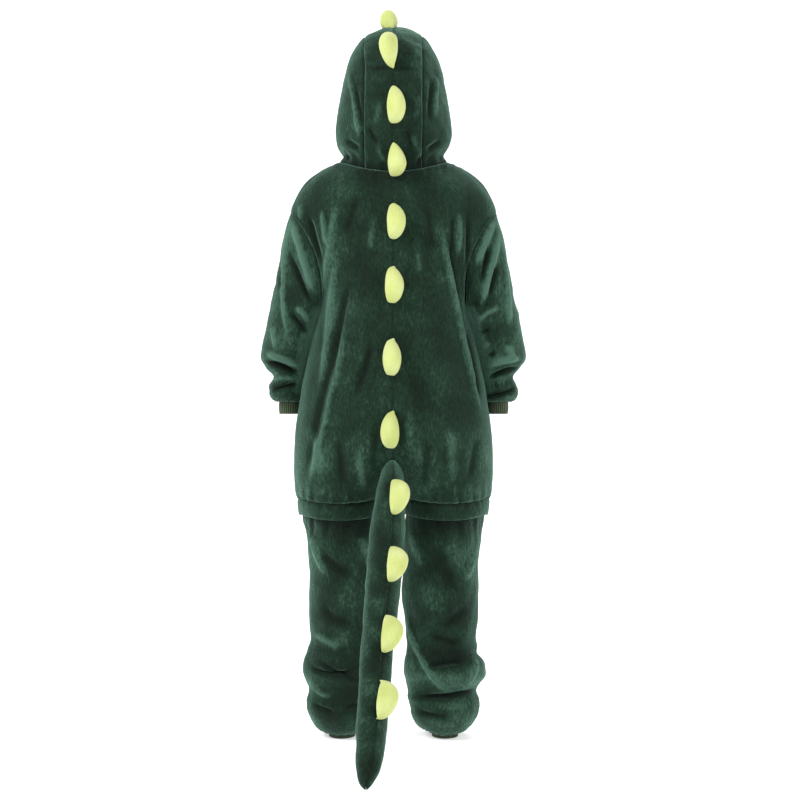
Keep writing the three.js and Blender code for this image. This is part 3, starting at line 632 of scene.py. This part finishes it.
leg = {
    "rows": [
        (412, 163, 24, 87, 78), (392, 162, 23, 86, 77), (360, 156, 20, 83, 74), (310, 152, 16, 78, 70),
        (255, 151, 17, 73, 66), (210, 151, 21, 70, 64), (174, 147, 24, 67, 62), (148, 157, 22, 72, 66),
        (120, 162, 21, 75, 68), (84, 150, 25, 64, 60), (62, 156, 27, 68, 64), (42, 153, 30, 66, 64),
        (22, 141, 40, 56, 56), (11, 128, 55, 44, 44), (8, 117.4, 66.6, 31.4, 31.4),
    ],
    "grid": (150, 124),
    "bandZ": 392,  # where the band's lower edge lies on it
    "wraps": {
        1: [(168, -0.10, 8, -2.6, 60), (100, 0.12, 7, -2.6, 20), (48, 0.08, 6, -2.4, 100),
            (132, 0.2, 7, 2.0, 90), (74, -0.1, 6, 2.0, 200), (150, 0.0, 11, -5.0, 0), (112, 0.0, 15, 6.0, 0)],
        -1: [(172, 0.12, 8, -2.6, 60), (104, 0.10, 7, -2.6, 120), (50, -0.05, 6, -2.4, 90),
             (134, -0.15, 7, 2.0, 80), (72, 0.12, 6, 2.0, 170)],
    },
}
band = {"rows": [(420, 172, 15, 97, 88), (405, 171, 15.5, 96, 87), (391, 168.5, 17, 94, 85)], "grid": (14, 150)}
wristCuff = {"x": 188, "y": 37, "wide": 19, "deep": 23, "low": 575, "high": 601, "ribs": 30, "bulge": 1.2}
ankleCuff = {"x": 92, "y": 0, "wide": 24, "deep": 30, "low": 0, "high": 42, "ribs": 40, "bulge": 1.2}


# A ring runs as cosine from its inner to its outer end and as sine in depth, bowed by sine squared
def sleevePoints(angle, at):
    outX, outZ, inX, inZ, mid, deep, bow = np.moveaxis(track(sleeve["rows"], at), -1, 0)
    cos, sin = np.cos(angle), np.sin(angle)
    x = (outX + inX) / 2 + (outX - inX) / 2 * cos - bow * sin**2
    z = (outZ + inZ) / 2 + (outZ - inZ) / 2 * cos
    return np.stack([x, mid + deep * sin, z], -1) + sleeve["clear"]


# A level ring: ellipse from inner to outer end, deeper behind than before
def legPoints(tube, angle, at):
    z, out, into, deep, belly = np.moveaxis(track(tube["rows"], at), -1, 0)
    sin = np.sin(angle)
    x = (out + into) / 2 + (out - into) / 2 * np.cos(angle)
    return np.stack([x, np.where(sin < 0, deep, belly) * sin, z + 0 * angle], -1)


# Grid of a tube, with its normals, angles, and distances round it, from its top and from its end
def ringGrid(surface, tube, side):
    rows, columns = tube["grid"]
    fine = np.linspace(0, len(tube["rows"]) - 1, 900)
    at = evenly(surface(np.full(900, -math.pi / 2), fine), fine, rows)[:, None]
    angle = roundAngles(columns)
    p = surface(angle, at) * (side, 1, 1)
    n = gridNormals(p, True, p.mean(1, keepdims=True))
    across = runLength(np.concatenate([p, p[:, :1]], 1), 1)[:, :-1]
    along = runLength(p, 0)
    return p, n, angle + 0 * at, across, along, along[-1:] - along


# Sleeve, leg and band: their rings pushed out by folds, wraps, ripples and gathers at the ends
def sleevePiece(name, node, side):
    p, n, angle, arc, top, end = ringGrid(sleevePoints, sleeve, side)
    ride, against = sleeve["rideUp"], sleeve["against"]
    p[..., 2] += ride["by"] * smooth((ride["below"] - p[..., 2]) / ride["over"])
    held = (0.2 + 0.8 * smooth(top / 14)) * (0.3 + 0.7 * smooth(end / 14))
    push = clothFolds(p, n, backFolds, frontFolds) * held
    push += wrapField(p[..., 0], p[..., 2], angle, sleeve["wraps"][side]) * held
    push += ripple(p, 5, 80) * 1.1 * held + ripple(p, 6, 30) * 0.4 * held
    push += gathers(arc, end, 14, 11, 17, 1.0) + groove(top, 0.8) + groove(end, 1.0, 3)
    inward = smooth((-np.cos(angle) - 0.45) / 0.35)
    inward *= smooth((p[..., 2] - against["low"]) / 20) * smooth((against["high"] - p[..., 2]) / 15)
    push += (against["lift"] - push) * inward
    outer, inner, shade = pushed(p, n, push)
    # Painted sheen lightens the whole sleeve and strengthens its fold highlights and shade; painted shade in the
    # gathers at the cuff
    shade = shade * 1.25 + 0.22 - 0.3 * bell(end, 10)
    addCloth(name, outer, inner, shade, True, node)


def legPiece(name, node, side):
    p, n, angle, arc, top, end = ringGrid(lambda angle, at: legPoints(leg, angle, at), leg, side)
    fromBand = leg["bandZ"] - p[..., 2]
    held = smooth((408 - p[..., 2]) / 30) * (0.3 + 0.7 * smooth(end / 20))
    mirrored = [(-x0, z0, -x1, z1, -bow, *rest) for x0, z0, x1, z1, bow, *rest in legFolds]
    push = clothFolds(p, n, legFolds, mirrored) * held * 1.25
    push += wrapField(p[..., 0], p[..., 2], angle, leg["wraps"][side]) * held
    push += (ripple(p, 7, 85) * 1.5 + ripple(p, 8, 32) * 0.45) * held
    push += gathers(arc, end, 15, 13, 22, 1.3)
    push += gathers(arc, np.maximum(fromBand, 0), 16, 24, 34, 1.1) * held
    outer, inner, shade = pushed(p, n, push)
    # Painted shadow of the band across the top of the leg, and painted shade in the gathers at the ankle
    dark = 0.8 * bell(fromBand, 22) + 0.3 * bell(end, 12)
    addCloth(name, outer, inner, shade - dark, True, node)


def bandPiece(name, node, side):
    p, n, angle, arc, top, end = ringGrid(lambda angle, at: legPoints(band, angle, at), band, side)
    p[..., 2] += hemRise(p)
    push = ripple(p, 9, 60) * 0.5 + gathers(arc, top, 17, 16, 14, 0.6)
    push += groove(top, 1.4, 3) + groove(end, 0.6, 2)
    outer, inner, shade = pushed(p, n, push)
    # Painted shade under the bag's overhang at the top and a painted highlight along the lower fold edge
    addCloth(name, outer, inner, shade - 0.3 * bell(top, 7) + 0.35 * bell(end, 4), True, node)


# Cuff: an upright elliptic tube with rounded ribs, a cosine round the ring to the power of a half
def cuffPiece(name, node, side, cuff, shift):
    angle = roundAngles(cuff["ribs"] * 6)
    v = np.linspace(0, 1, 13)[:, None]
    x = cuff["x"] + cuff["wide"] * np.cos(angle) + 0 * v
    y = cuff["y"] + cuff["deep"] * np.sin(angle) + 0 * v
    z = cuff["high"] + (cuff["low"] - cuff["high"]) * v + 0 * angle
    p = np.stack([x, y, z], -1) + shift
    p = p * (side, 1, 1)
    n = gridNormals(p, True, p.mean(1, keepdims=True))
    ribs = np.sqrt(0.5 + 0.5 * np.cos(angle * cuff["ribs"])) - 1
    push = ribs * 1.1 + cuff["bulge"] * np.sin(math.pi * v) - 0.4
    # Painted shade in the grooves between the ribs and painted highlights on their crests
    shade = np.clip(ribs * 1.6 + 0.6, -1, 1) + 0 * v
    addCloth(name, p + n * push[..., None], p - n * 2.6, shade, True, node, ribKnit)


bothSides([
    (sleevePiece, "plush_sleeve", "sleeve"), (legPiece, "plush_leg", "leg"), (bandPiece, "plush_band", "band"),
    (cuffPiece, "rib_wrist", "wrist_cuff", wristCuff, sleeve["clear"]),
    (cuffPiece, "rib_ankle", "ankle_cuff", ankleCuff, (0, 0, 0)),
])
print("sleeves, legs, bands and cuffs made")

# ---- Hood ----
# rings from the neck seam to the crown: side, back and front heights, half width, depth behind and
# before; face is the Bezier outline of the face opening, heart a point inside
hood = {
    "rows": [
        (1024.8, 1000.8, 962.8, 98, 68, 62), (1036, 1016, 985, 89, 74, 70), (1055, 1040, 1015, 101, 90, 80),
        (1080, 1070, 1050, 104.5, 104, 90), (1112, 1107, 1095, 100.5, 112, 98), (1150, 1148, 1140, 94, 113, 102),
        (1185, 1185, 1180, 86.5, 105, 99), (1215, 1217, 1212, 76, 90, 87), (1240, 1242, 1239, 60, 66, 66),
        (1256, 1257, 1256, 38, 38, 40), (1264, 1264.5, 1264, 14, 14, 14), (1266, 1266, 1266, 0, 0, 0),
    ],
    "strip": 51, "gap": 0.15, "heart": (0, 0, 1120),
    "face": [(0, 985), (43.4, 985), (62, 1035), (62, 1090), (62, 1175), (37.2, 1200), (0, 1200)],
    "hem": 9,
    "folds": [
        (-80, 1182, -56, 1048, 3, 6, 3.6, 0.6), (-70, 1150, -52, 1060, 2, 5, -2.6),
        (77, 1170, 70, 1084, 0, 6, 3.2, 0.8), (66, 1160, 60, 1080, 0, 5, -2.4),
        (-84, 1058, -56, 1036, 0, 5, -3.0), (84, 1056, 58, 1034, 0, 5, -3.0),
        (-90, 1040, -74, 1014, 0, 6, -5.5), (92, 1040, 78, 1012, 0, 6, -5.5),
        (-50, 1174, 50, 1172, -3, 6, -1.6), (-44, 1072, -25, 1043, 0, 5, -2.4),
        (28, 1060, 48, 1024, 0, 8, 2.4), (20, 1070, 34, 1036, 0, 5, -2.0),
        (-30, 1046, -12, 1012, 0, 6, 2.0), (-64, 1100, -50, 1060, 0, 8, 2.0),
        (-20, 1120, -30, 1070, 0, 8, 1.6), (44, 1130, 38, 1080, 0, 7, 1.6),
        (-60, 1225, -40, 1190, 0, 10, 1.6), (50, 1225, 36, 1186, 0, 10, 1.6),
        (0, 1040, 6, 1004, 0, 5, -2.0), (52, 1030, 40, 1008, 0, 5, -2.2),
    ],
}


# x runs as the sine and y as the cosine of the angle from the centre front; z as sine squared
def hoodPoints(angle, at):
    side, back, front, wide, deep, belly = np.moveaxis(track(hood["rows"], at), -1, 0)
    sin, cos = np.sin(angle), np.cos(angle)
    middle = np.where(cos < 0, back, front)
    y = np.where(cos < 0, deep, belly) * cos
    return np.stack([wide * sin, y, middle + (side - middle) * sin**2], -1)


# Level at which value(level) passes a target, by halving between two levels
def solveLevel(value, target, low, high):
    low = np.full(np.shape(target), float(low))
    high = np.full(np.shape(target), float(high))
    rising = value(high) > value(low)
    for _ in range(40):
        middle = (low + high) / 2
        below = (value(middle) < target) == rising
        low = np.where(below, middle, low)
        high = np.where(below, high, middle)
    return (low + high) / 2


# Angle at which a ring is x wide: the arc sine of x over its half width
def hoodAngle(x, at):
    wide = track(hood["rows"], at)[..., 3]
    return np.arcsin(np.clip(x / np.maximum(wide, 1e-6), 0, 1))


# Level near the crown whose ring is x wide at most
def crownLevel(x):
    return solveLevel(lambda at: track(hood["rows"], at)[..., 3], x, 4, 11)


# The face opening's outline: two cubic Bezier curves on each side of the centre
def faceEdge(t):
    q = np.array(hood["face"], float)
    pick = np.where(t < 1, 0, 3)
    s = (t - np.where(t < 1, 0, 1))[..., None]
    a, b, c, d = (q[pick + i] for i in range(4))
    return a * (1 - s)**3 + 3 * b * s * (1 - s)**2 + 3 * c * s**2 * (1 - s) + d * s**3


# Level at which the front is z high at a place x to the side
def edgeLevel(x, z):
    def height(at):
        side, _, front, wide = (track(hood["rows"], at)[..., i] for i in range(4))
        return front + (side - front) * np.clip(x / np.maximum(wide, 1e-6), 0, 1)**2
    return solveLevel(height, z, 0, 9)


# Points of each column spaced evenly along its own length
def evenColumns(p, count):
    length = runLength(p, 0)
    columns = []
    for k in range(p.shape[1]):
        places = np.linspace(0, length[-1, k], count)
        columns.append(np.stack([np.interp(places, length[:, k], p[:, k, i]) for i in range(3)], -1))
    return np.stack(columns, 1)


# Folds of the hood's back, with ripples that calm down near the middle
def hoodPush(p, n):
    x, z = p[..., 0], p[..., 2]
    push = cloth["deepen"] * foldField(x, z, hood["folds"]) * smooth(-n[..., 1] * 1.8)
    push += ripple(p, 21, 70) * 0.9 + ripple(p, 22, 26) * 0.4
    return push * (0.4 + 0.6 * smooth(np.abs(x) / 20))


# The turned hem round the face: a low roll with a line of stitches at its far edge
def faceHem(away):
    return 0.9 * bell(away - hood["hem"] / 2, 4) - 0.9 * bell(away - hood["hem"], 1.6)


# Both walls and the shade of a hood piece, whose lowest edge turns in and down into the neck seam; the shade is
# slightly darker overall, with painted shade in the fold of the neck seam
def hoodWalls(p, n, push, neck):
    fade = bell(neck, 3.5)[..., None]
    turnedIn = p * (1 - 0.016 * fade * (1, 1, 0)) - fade * (0, 0, 2.4)
    outer, inner, shade = pushed(turnedIn, n, push)
    return outer, inner, shade * 1.15 - 0.1 - 0.8 * bell(neck, 10)


# Half of the centre strip: columns of constant x from the face over the crown and down to the neck
def hoodStrip(name, node, side):
    x = np.linspace(hood["gap"], hood["strip"] - hood["gap"], 19)
    t = np.linspace(1, 2, 400)
    outline = faceEdge(t)
    edgeZ = np.interp(x, outline[::-1, 0], outline[::-1, 1])
    top = crownLevel(x)
    start = edgeLevel(x, edgeZ)
    s = np.linspace(1, 0, 260)[:, None]
    frontAt = top - (top - start) * s**2
    backAt = top - top * s[::-1]**2
    dense = np.concatenate([hoodPoints(hoodAngle(x, frontAt), frontAt),
                            hoodPoints(math.pi - hoodAngle(x, backAt), backAt)[1:]])
    p = evenColumns(dense, 150) * (side, 1, 1)
    n = gridNormals(p, False, hood["heart"])
    middle, seam, face, neck = edgeDistances(p)
    push = hoodPush(p, n) * smooth(neck / 16)
    push += groove(middle, 1.3, 2.6) + groove(seam, 1.7, 3.0)
    push += faceHem(face) + gathers(p[..., 0], neck, 23, 14, 24, 1.0) * smooth(neck / 8)
    outer, inner, shade = hoodWalls(p, n, push, neck)
    overlap(outer, inner, side)
    addCloth(name, outer, inner, shade, False, node)


# Side of the hood: blends angle and level evenly from its front outline to its seam behind
def hoodSide(name, node, side):
    edge = hood["strip"] + hood["gap"]
    crown = crownLevel(np.array([edge]))[0]
    throat = edgeLevel(np.array([hood["gap"]]), np.array([float(hood["face"][0][1])]))[0]
    throatAt = np.linspace(0, throat, 12)
    t = np.linspace(0.002, 2, 500)
    outline = faceEdge(t)
    keep = (t < 1.2) | (outline[:, 0] > edge)
    outline = outline[keep]
    rimAt = edgeLevel(outline[:, 0], outline[:, 1])
    s = np.linspace(1, 0, 120)
    stripAt = crown - (crown - rimAt[-1]) * s**2
    frontAt = np.concatenate([throatAt[:-1], rimAt, stripAt[1:]])
    frontX = np.concatenate([np.full(11, hood["gap"]), outline[:, 0], np.full(119, edge)])
    frontAngle = hoodAngle(frontX, frontAt)
    backAt = crown - crown * np.linspace(1, 0, 400)**2
    backAngle = math.pi - hoodAngle(np.full(400, edge), backAt)
    count = 96
    frontEven = evenly(hoodPoints(frontAngle, frontAt), np.arange(len(frontAt)), count)
    backEven = evenly(hoodPoints(backAngle, backAt), np.arange(400), count)

    def between(front, back):  # from the front curve's values to the back curve's
        fromValue = np.interp(frontEven, np.arange(len(front)), front)[:, None]
        toValue = np.interp(backEven, np.arange(len(back)), back)[:, None]
        return fromValue + (toValue - fromValue) * np.linspace(0, 1, 72)[None, :]

    p = hoodPoints(between(frontAngle, backAngle), between(frontAt, backAt)) * (side, 1, 1)
    n = gridNormals(p, False, hood["heart"])
    n[-1] = n[-2]
    front, seam, neck, _ = edgeDistances(p)
    onFace = (smooth((frontEven - 8) / 6) * smooth((len(rimAt) + 15 - frontEven) / 8))[:, None]
    push = hoodPush(p, n) * smooth(neck / 16)
    push += groove(seam, 1.7, 3.0) + groove(front, 1.5, 3.0) * (1 - onFace)
    push += onFace * faceHem(front) + gathers(p[..., 1], neck, 24, 14, 24, 1.0) * smooth(neck / 8)
    outer, inner, shade = hoodWalls(p, n, push, neck)
    addCloth(name, outer, inner, shade, False, node)


bothSides([(hoodStrip, "plush_hood_strip", "hood_centre"), (hoodSide, "plush_hood_side", "hood_side")])
print("hood made")

# ---- Tail ----
# axis point, half width, half depth, and the seam's turn round to the right in degrees
tail = {
    "rows": [
        (-1, -62, 468, 18, 40, 0), (-4, -120, 440, 24, 47, 8), (-9, -165, 390, 29, 39, 16),
        (-14, -215, 325, 29, 34, 20), (-20, -270, 250, 28, 31, 21), (-27, -325, 170, 26, 28, 21),
        (-32, -375, 97, 24, 25, 17), (-36, -412, 44, 20, 21, 14), (-39, -429, 22, 12, 12, 10),
        (-40, -436, 12, 3, 3, 0),
    ],
    "clear": 0.8, "seamHalf": 0.15, "around": 44, "plane": 8, "along": 132,
    "wraps": [(300, 0.3, 5, -1.6, 250), (282, 0.2, 6, 1.2, 250), (110, -0.5, 6, -1.6, 270),
              (90, -0.4, 7, 1.2, 280), (200, 0.4, 7, -1.0, 300), (370, 0.2, 8, -1.2, 240)],
}


# Depth of the back at a place below the waist
def backDepth(x, z):
    fine = np.linspace(9, len(body["rows"]) - 1, 800)
    at = np.interp(-z, -track(body["rows"], fine)[:, 0], fine)
    level = bodyLevel(at, -1)
    angle = np.arcsin(np.clip((np.abs(x) - level[3]) * np.sin(level[6]) / level[7], -1, 1))
    return bodyArc(level, angle, -1)[..., 1]


# At a level of the tail: axis point, the way out square to the axis, half width, half depth, turn
def tailStation(at):
    row = track(tail["rows"], at)
    way = track(tail["rows"], at + 0.01)[..., :3] - track(tail["rows"], at - 0.01)[..., :3]
    out = unit(np.stack([0 * at, way[..., 2], -way[..., 1]], -1))
    return row[..., :3], out, row[..., 3], row[..., 4], np.radians(row[..., 5])


# The section is an ellipse: half width times sine to the right, half depth times cosine outwards
def tailPoints(angle, at):
    centre, out, wide, deep, _ = tailStation(at)
    p = centre + out * (deep * np.cos(angle))[..., None]
    p[..., 0] += wide * np.sin(angle)
    return p


# Half of the tail: from the ridge seam round one side to the seam below, and back along the seam plane
def tailHalf(name, node, side):
    around, plane = tail["around"], tail["plane"]
    lineCount = around + plane

    def lines(at):  # at has one value for each line of each row
        _, out, wide, deep, turn = tailStation(at)
        angle = turn[:, :around] + side * np.linspace(0, math.pi, around)
        share = (np.arange(1, plane + 1) / (plane + 1))[None, :, None]
        below = tailPoints(turn[:, around:] + math.pi, at[:, around:])
        above = tailPoints(turn[:, around:], at[:, around:])
        p = np.concatenate([tailPoints(angle, at[:, :around]), below + (above - below) * share], 1)
        away = out * (-wide * np.sin(turn))[..., None]
        away[..., 0] += deep * np.cos(turn)
        return p + unit(away) * (side * tail["seamHalf"]), angle

    fine = np.linspace(0, 5, 500)[:, None] + np.zeros((1, lineCount))
    p, _ = lines(fine)
    hem = body["hem"]["z"]
    inside = (p[..., 1] > backDepth(p[..., 0], p[..., 2]) - tail["clear"]) & (p[..., 2] > hem)
    startAt = np.array([fine[np.nonzero(inside[:, k])[0][-1] + 1, 0] if inside[:, k].any() else 0.9
                        for k in range(lineCount)])
    share = np.linspace(0, 1, tail["along"])[:, None]
    at = startAt[None, :] + (len(tail["rows"]) - 1 - startAt[None, :]) * share
    p, angle = lines(at)
    n = np.zeros_like(p)
    n[:, :around] = unit(p[:, :around] - tailStation(at)[0][:, :around])
    arcLength = runLength(p[:, :around], 1)
    seamAway = np.minimum(arcLength, arcLength[:, -1:] - arcLength)
    push = np.zeros(p.shape[:2])
    push[:, :around] = (wrapField(p[:, :around, 0], p[:, :around, 2], np.pi / 2 - angle, tail["wraps"])
                        + ripple(p[:, :around], 31, 60) * 0.8 + ripple(p[:, :around], 32, 24) * 0.35
                        + groove(seamAway, 1.4, 3.0))
    push *= smooth(share / 0.06) * smooth((1 - share) / 0.05)
    p = p + n * push[..., None]
    # Painted highlights on the tail's ridges and painted shade in its creases and seam groove
    shade = np.tanh(push / 2.6)
    base = p[0]
    hub = base.mean(0)
    cap = []
    for r in (0.75, 0.5, 0.25, 0.0):
        ring = hub + (base - hub) * r
        over = ring[:, 2] > hem + 0.5
        ring[over, 1] = np.minimum(ring[over, 1], backDepth(ring[over, 0], ring[over, 2]) - tail["clear"])
        cap.append(ring)
    tip = p[-1] * 0 + p[-1].mean(0)
    rings = np.concatenate([np.stack(cap[::-1]), p, tip[None]])
    shades = np.concatenate([np.zeros((4, lineCount)), shade, shade[-1:]])
    faces = gridFaces(len(rings), lineCount, True)
    piece = addPiece(name, rings.reshape(-1, 3), faces, shades, greenPlush, node)


bothSides([(tailHalf, "stuffed_tail", "tail")])
print("tail made")

# ---- Spikes ----
# height of the middle, the seam's drift to the right, and the lean to the right in degrees
spikes = {
    "long": 64, "high": 37, "thick": 31.5, "lowDown": 1.2, "point": (0.66, 0.46),
    "body": [(1266, -6, -8), (1200, -2, -23), (1108, 0, 19), (1020, 0, 24),
             (908, -2, 27), (798, -4, 22), (674, -4.5, 9), (550, -3, -10)],
    "tail": [(437, 0, 23), (332, 0, 24), (229, 0, 26), (136, 5, 20)],
    "bodyLift": 1.2, "tailLift": 0.6, "firstSunk": 6, "grid": (41, 36),
}


# A seam's path: its points, and which ways are right and out from the cloth at each
def spinePath():
    rows = [(0, 40, 1256), (0, 14, 1264.5)]
    rows += [(0, -deep, back) for _, back, _, _, deep, _ in hood["rows"][10:0:-1]]
    at = np.arange(1, 17.0)
    behind = bodyPoints(np.zeros(16), at, -1)
    rows += [(0, y, z) for _, y, z in behind]
    fine = np.linspace(0, len(rows) - 1, 3000)
    p = track(rows, fine)
    way = np.gradient(p, axis=0)
    out = unit(np.stack([0 * fine, way[:, 2], -way[:, 1]], -1))
    return p, np.tile([1.0, 0, 0], (3000, 1)), out


# The ridge seam of the tail, with right and out as the section's tangent and normal
def ridgePath():
    at = np.linspace(0, len(tail["rows"]) - 1, 3000)
    _, out, wide, deep, turn = tailStation(at)
    toRight, toOut = np.sin(turn) / wide, np.cos(turn) / deep
    across = np.array([1.0, 0, 0])
    return (tailPoints(turn, at), unit(across * toOut[:, None] - out * toRight[:, None]),
            unit(across * toRight[:, None] + out * toOut[:, None]))


# A stuffed lobe: half an egg along the seam, whose section is a leaning egg flat on the cloth
def spikePiece(name, node, path, height, drift, lean, lift, seed):
    points, right, out = path
    length = runLength(points, 0)
    middle = length[np.argmin(np.abs(points[:, 2] - height))]
    along, around = spikes["grid"]
    turn = np.linspace(0, math.pi, along)
    share = (1 - np.cos(turn)) / 2
    place = middle + (share - 0.5) * spikes["long"]
    seam, right, out = (np.stack([np.interp(place, length, values[:, i]) for i in range(3)], -1)[:, None, :]
                        for values in (points, right, out))
    chord = seam[:1] + (seam[-1:] - seam[:1]) * share[:, None, None]
    above = np.sum((seam - chord) * out, -1, keepdims=True)
    root = chord + out * np.maximum(above, 0)  # over a hollow only the lobe's base follows the cloth
    out = unit(out + 2 * out[along // 2])
    down = 1 - share if lean < -12 else share  # the lobe behind the crown points the other way
    full = np.sin(math.pi * down**spikes["lowDown"])[:, None]
    blunt, sharp = spikes["point"]
    full = np.maximum(full, 0)**(blunt + (sharp - blunt) * down[:, None])
    a = roundAngles(around)
    up = spikes["high"] * full**0.85 * (1 - np.cos(a)) / 2
    sideways = spikes["thick"] * full**0.72 * np.sin(a) * (1 + 0.16 * np.cos(a)) / 2
    tilt = math.radians(lean)
    over = up * math.sin(tilt) + sideways * math.cos(tilt)
    rise = np.maximum(up * math.cos(tilt) - sideways * math.sin(tilt), 0)
    p = root + right * (over + drift * smooth(full * 3))[..., None] + out * (rise + lift)[..., None]
    p += (seam - root) * bell(rise, 7)[..., None]
    hub = p.mean(1, keepdims=True)
    dent = 1 - 0.035 * bell(a - math.pi, 0.16) + ripple(p, seed, 28) * 0.014
    dent = np.where(rise > 0.5, dent, 1)
    p = hub + (p - hub) * dent[..., None]
    # Random tone over the lobe, and painted shade at its base where it meets the cloth
    shade = ripple(p, seed + 40, 40) * 0.3 - 0.5 * bell(rise, 3)
    piece = addPiece(name, p.reshape(-1, 3), gridFaces(along, around, True), shade, limePlush, node)


spine, ridge = spinePath(), ridgePath()
number = 0
for path, place in ((spine, "body"), (ridge, "tail")):
    for height, drift, lean in spikes[place]:
        number += 1
        lift = spikes[f"{place}Lift"] - (spikes["firstSunk"] if number == 1 else 0)
        spikePiece(f"stuffed_spike_{number}", f"spike_{number}", path, height, drift, lean, lift, number)
print("spikes made")

# ---- Front closing ----
placket = {"wide": 17, "first": 0.35, "last": 13, "lift": 0.9, "thickness": 3, "stitch": 3.5}
# profile: radius and height of the rings, from the back over the rim to the middle
button = {
    "thick": 4, "rows": [0.9, 3.9, 6.6, 9.3, 12.1], "holeAt": 1.7, "holeDeep": 2.0, "dish": 0.7,
    "profile": [(0, -2), (8.2, -2), (8.8, -1.4), (9, -0.4), (9, 0.8), (8.6, 1.6), (7.9, 2), (7.2, 1.9),
                (6.5, 1.2), (5.6, 0.8), (4.8, 0.7), (4.2, 0.7), (3.6, 0.7), (3.0, 0.7), (2.4, 0.7),
                (1.8, 0.7), (1.2, 0.7), (0.6, 0.7), (0, 0.7)],
}


# A point over the front panels at a sideways place and a level
def frontPoints(x, at, lift):
    level = bodyLevel(at, 1)
    angle = np.arcsin(np.minimum(1, (np.abs(x) - level[3]) * np.sin(level[6]) / level[7]))
    p = bodyArc(level, angle, 1)
    p[..., 0] = x
    p[..., 1] += lift
    return p


# The button strip: a flat-lying grid over both front panels, with a sunk line of stitches
def placketPiece():
    fine = np.linspace(placket["first"], placket["last"], 900)
    at = evenly(frontPoints(np.zeros(900), fine, 0), fine, 124)[:, None]
    x = np.linspace(-placket["wide"], placket["wide"], 25)[None, :]
    p = frontPoints(x + 0 * at, at + 0 * x, placket["lift"] + placket["thickness"])
    n = gridNormals(p, False, p * (0, 0, 1))
    left, right, top, low = edgeDistances(p)
    edge = np.minimum(np.minimum(left, right), np.minimum(top, low))
    push = ripple(p, 51, 40) * 0.25 - 0.7 * bell(edge - placket["stitch"], 1.1)
    push -= 0.5 * (1 - smooth(edge / 2.0))
    outer, inner, shade = pushed(p, n, push, placket["thickness"] - 0.3)
    addCloth("plush_placket", outer, inner, shade, False, "placket")


# Four-hole button: rings of a rounded disc with a raised rim, sunk in the middle and at the holes
def buttonPiece(name, node, at):
    near = frontPoints(np.zeros(3), np.array([at + 0.1, at, at - 0.1]), 0)
    tilt = math.atan2(near[2, 1] - near[0, 1], near[2, 2] - near[0, 2])
    centre = near[1] + (0, placket["lift"] + placket["thickness"] + 1 + button["thick"] / 2, 0)
    profile = np.array(button["profile"])
    a = roundAngles(48)
    r, h = profile[:, :1], profile[:, 1:] + 0 * a
    x, z = r * np.cos(a), r * np.sin(a)
    hole = np.exp(-((np.abs(x) - button["holeAt"])**2 + (np.abs(z) - button["holeAt"])**2) / 0.6)
    h = h - np.where(profile[:, 1:] == button["dish"], button["holeDeep"] * hole, 0)
    y2 = h * math.cos(tilt) + z * math.sin(tilt)
    z2 = z * math.cos(tilt) - h * math.sin(tilt)
    p = np.stack([x, y2, z2], -1) + centre
    addPiece(name, p.reshape(-1, 3), gridFaces(len(profile), 48, True), 0 * x, buttonPlastic, node)


placketPiece()
for i, at in enumerate(button["rows"]):
    buttonPiece(f"sewn_button_{i + 1}", f"button_{i + 1}", at)
print("front closing made")

# ---- Stage and light ----
stage = {"half": 7.0, "front": -5.0, "bend": 3.0, "radius": 1.6, "height": 7.0}


# Floor that bends up into a backdrop through a quarter circle
def sweep():
    turn = np.linspace(0, math.pi / 2, 24)
    y = np.concatenate([[stage["front"]], stage["bend"] + stage["radius"] * np.sin(turn),
                        [stage["bend"] + stage["radius"]]])
    z = np.concatenate([[0], stage["radius"] * (1 - np.cos(turn)), [stage["height"]]]) + hemZ
    x = np.array([-stage["half"], stage["half"]])
    p = np.stack([x[None, :] + 0 * y[:, None], y[:, None] + 0 * x, z[:, None] + 0 * x], -1)
    mesh = bpy.data.meshes.new("sweep")
    mesh.from_pydata(p.reshape(-1, 3).tolist(), [], gridFaces(len(y), 2, False).tolist())
    mesh.shade_smooth()
    finish = Finish("studio white")
    mesh.materials.append(finish.shader({"Base Color": (0.93, 0.93, 0.94, 1), "Roughness": 0.9,
                                         "Specular IOR Level": 0.1, "Emission Color": (1, 1, 1, 1),
                                         "Emission Strength": 0.45}))
    piece = bpy.data.objects.new("sweep", mesh)
    scene.collection.objects.link(piece)
    return piece


sweep()
world = bpy.data.worlds.new("studio")
world.use_nodes = True
world.node_tree.nodes["Background"].inputs["Color"].default_value = (1, 1, 1, 1)
world.node_tree.nodes["Background"].inputs["Strength"].default_value = 0.52
scene.world = world
scene.view_settings.view_transform = "Standard"

lamps = {
    "key": {"at": (-2.2, -1.7, 1.7), "to": (0, 0, -0.4), "size": 1.1, "power": 85},
    "fill": {"at": (2.4, -1.6, 0.8), "to": (0, 0, -0.45), "size": 1.4, "power": 34},
    "back": {"at": (0.6, 2.2, 2.2), "to": (0, 0, -0.3), "size": 2.0, "power": 40},
}
for name, lamp in lamps.items():
    data = bpy.data.lights.new(name, "AREA")
    data.size = lamp["size"]
    data.energy = lamp["power"]
    light = bpy.data.objects.new(name, data)
    light.location = lamp["at"]
    way = np.array(lamp["to"]) - np.array(lamp["at"])
    flat = math.hypot(way[0], way[1])
    light.rotation_euler = (math.atan2(flat, -way[2]), 0, math.atan2(way[1], way[0]) - math.pi / 2)
    scene.collection.objects.link(light)
print("stage and lamps ready")
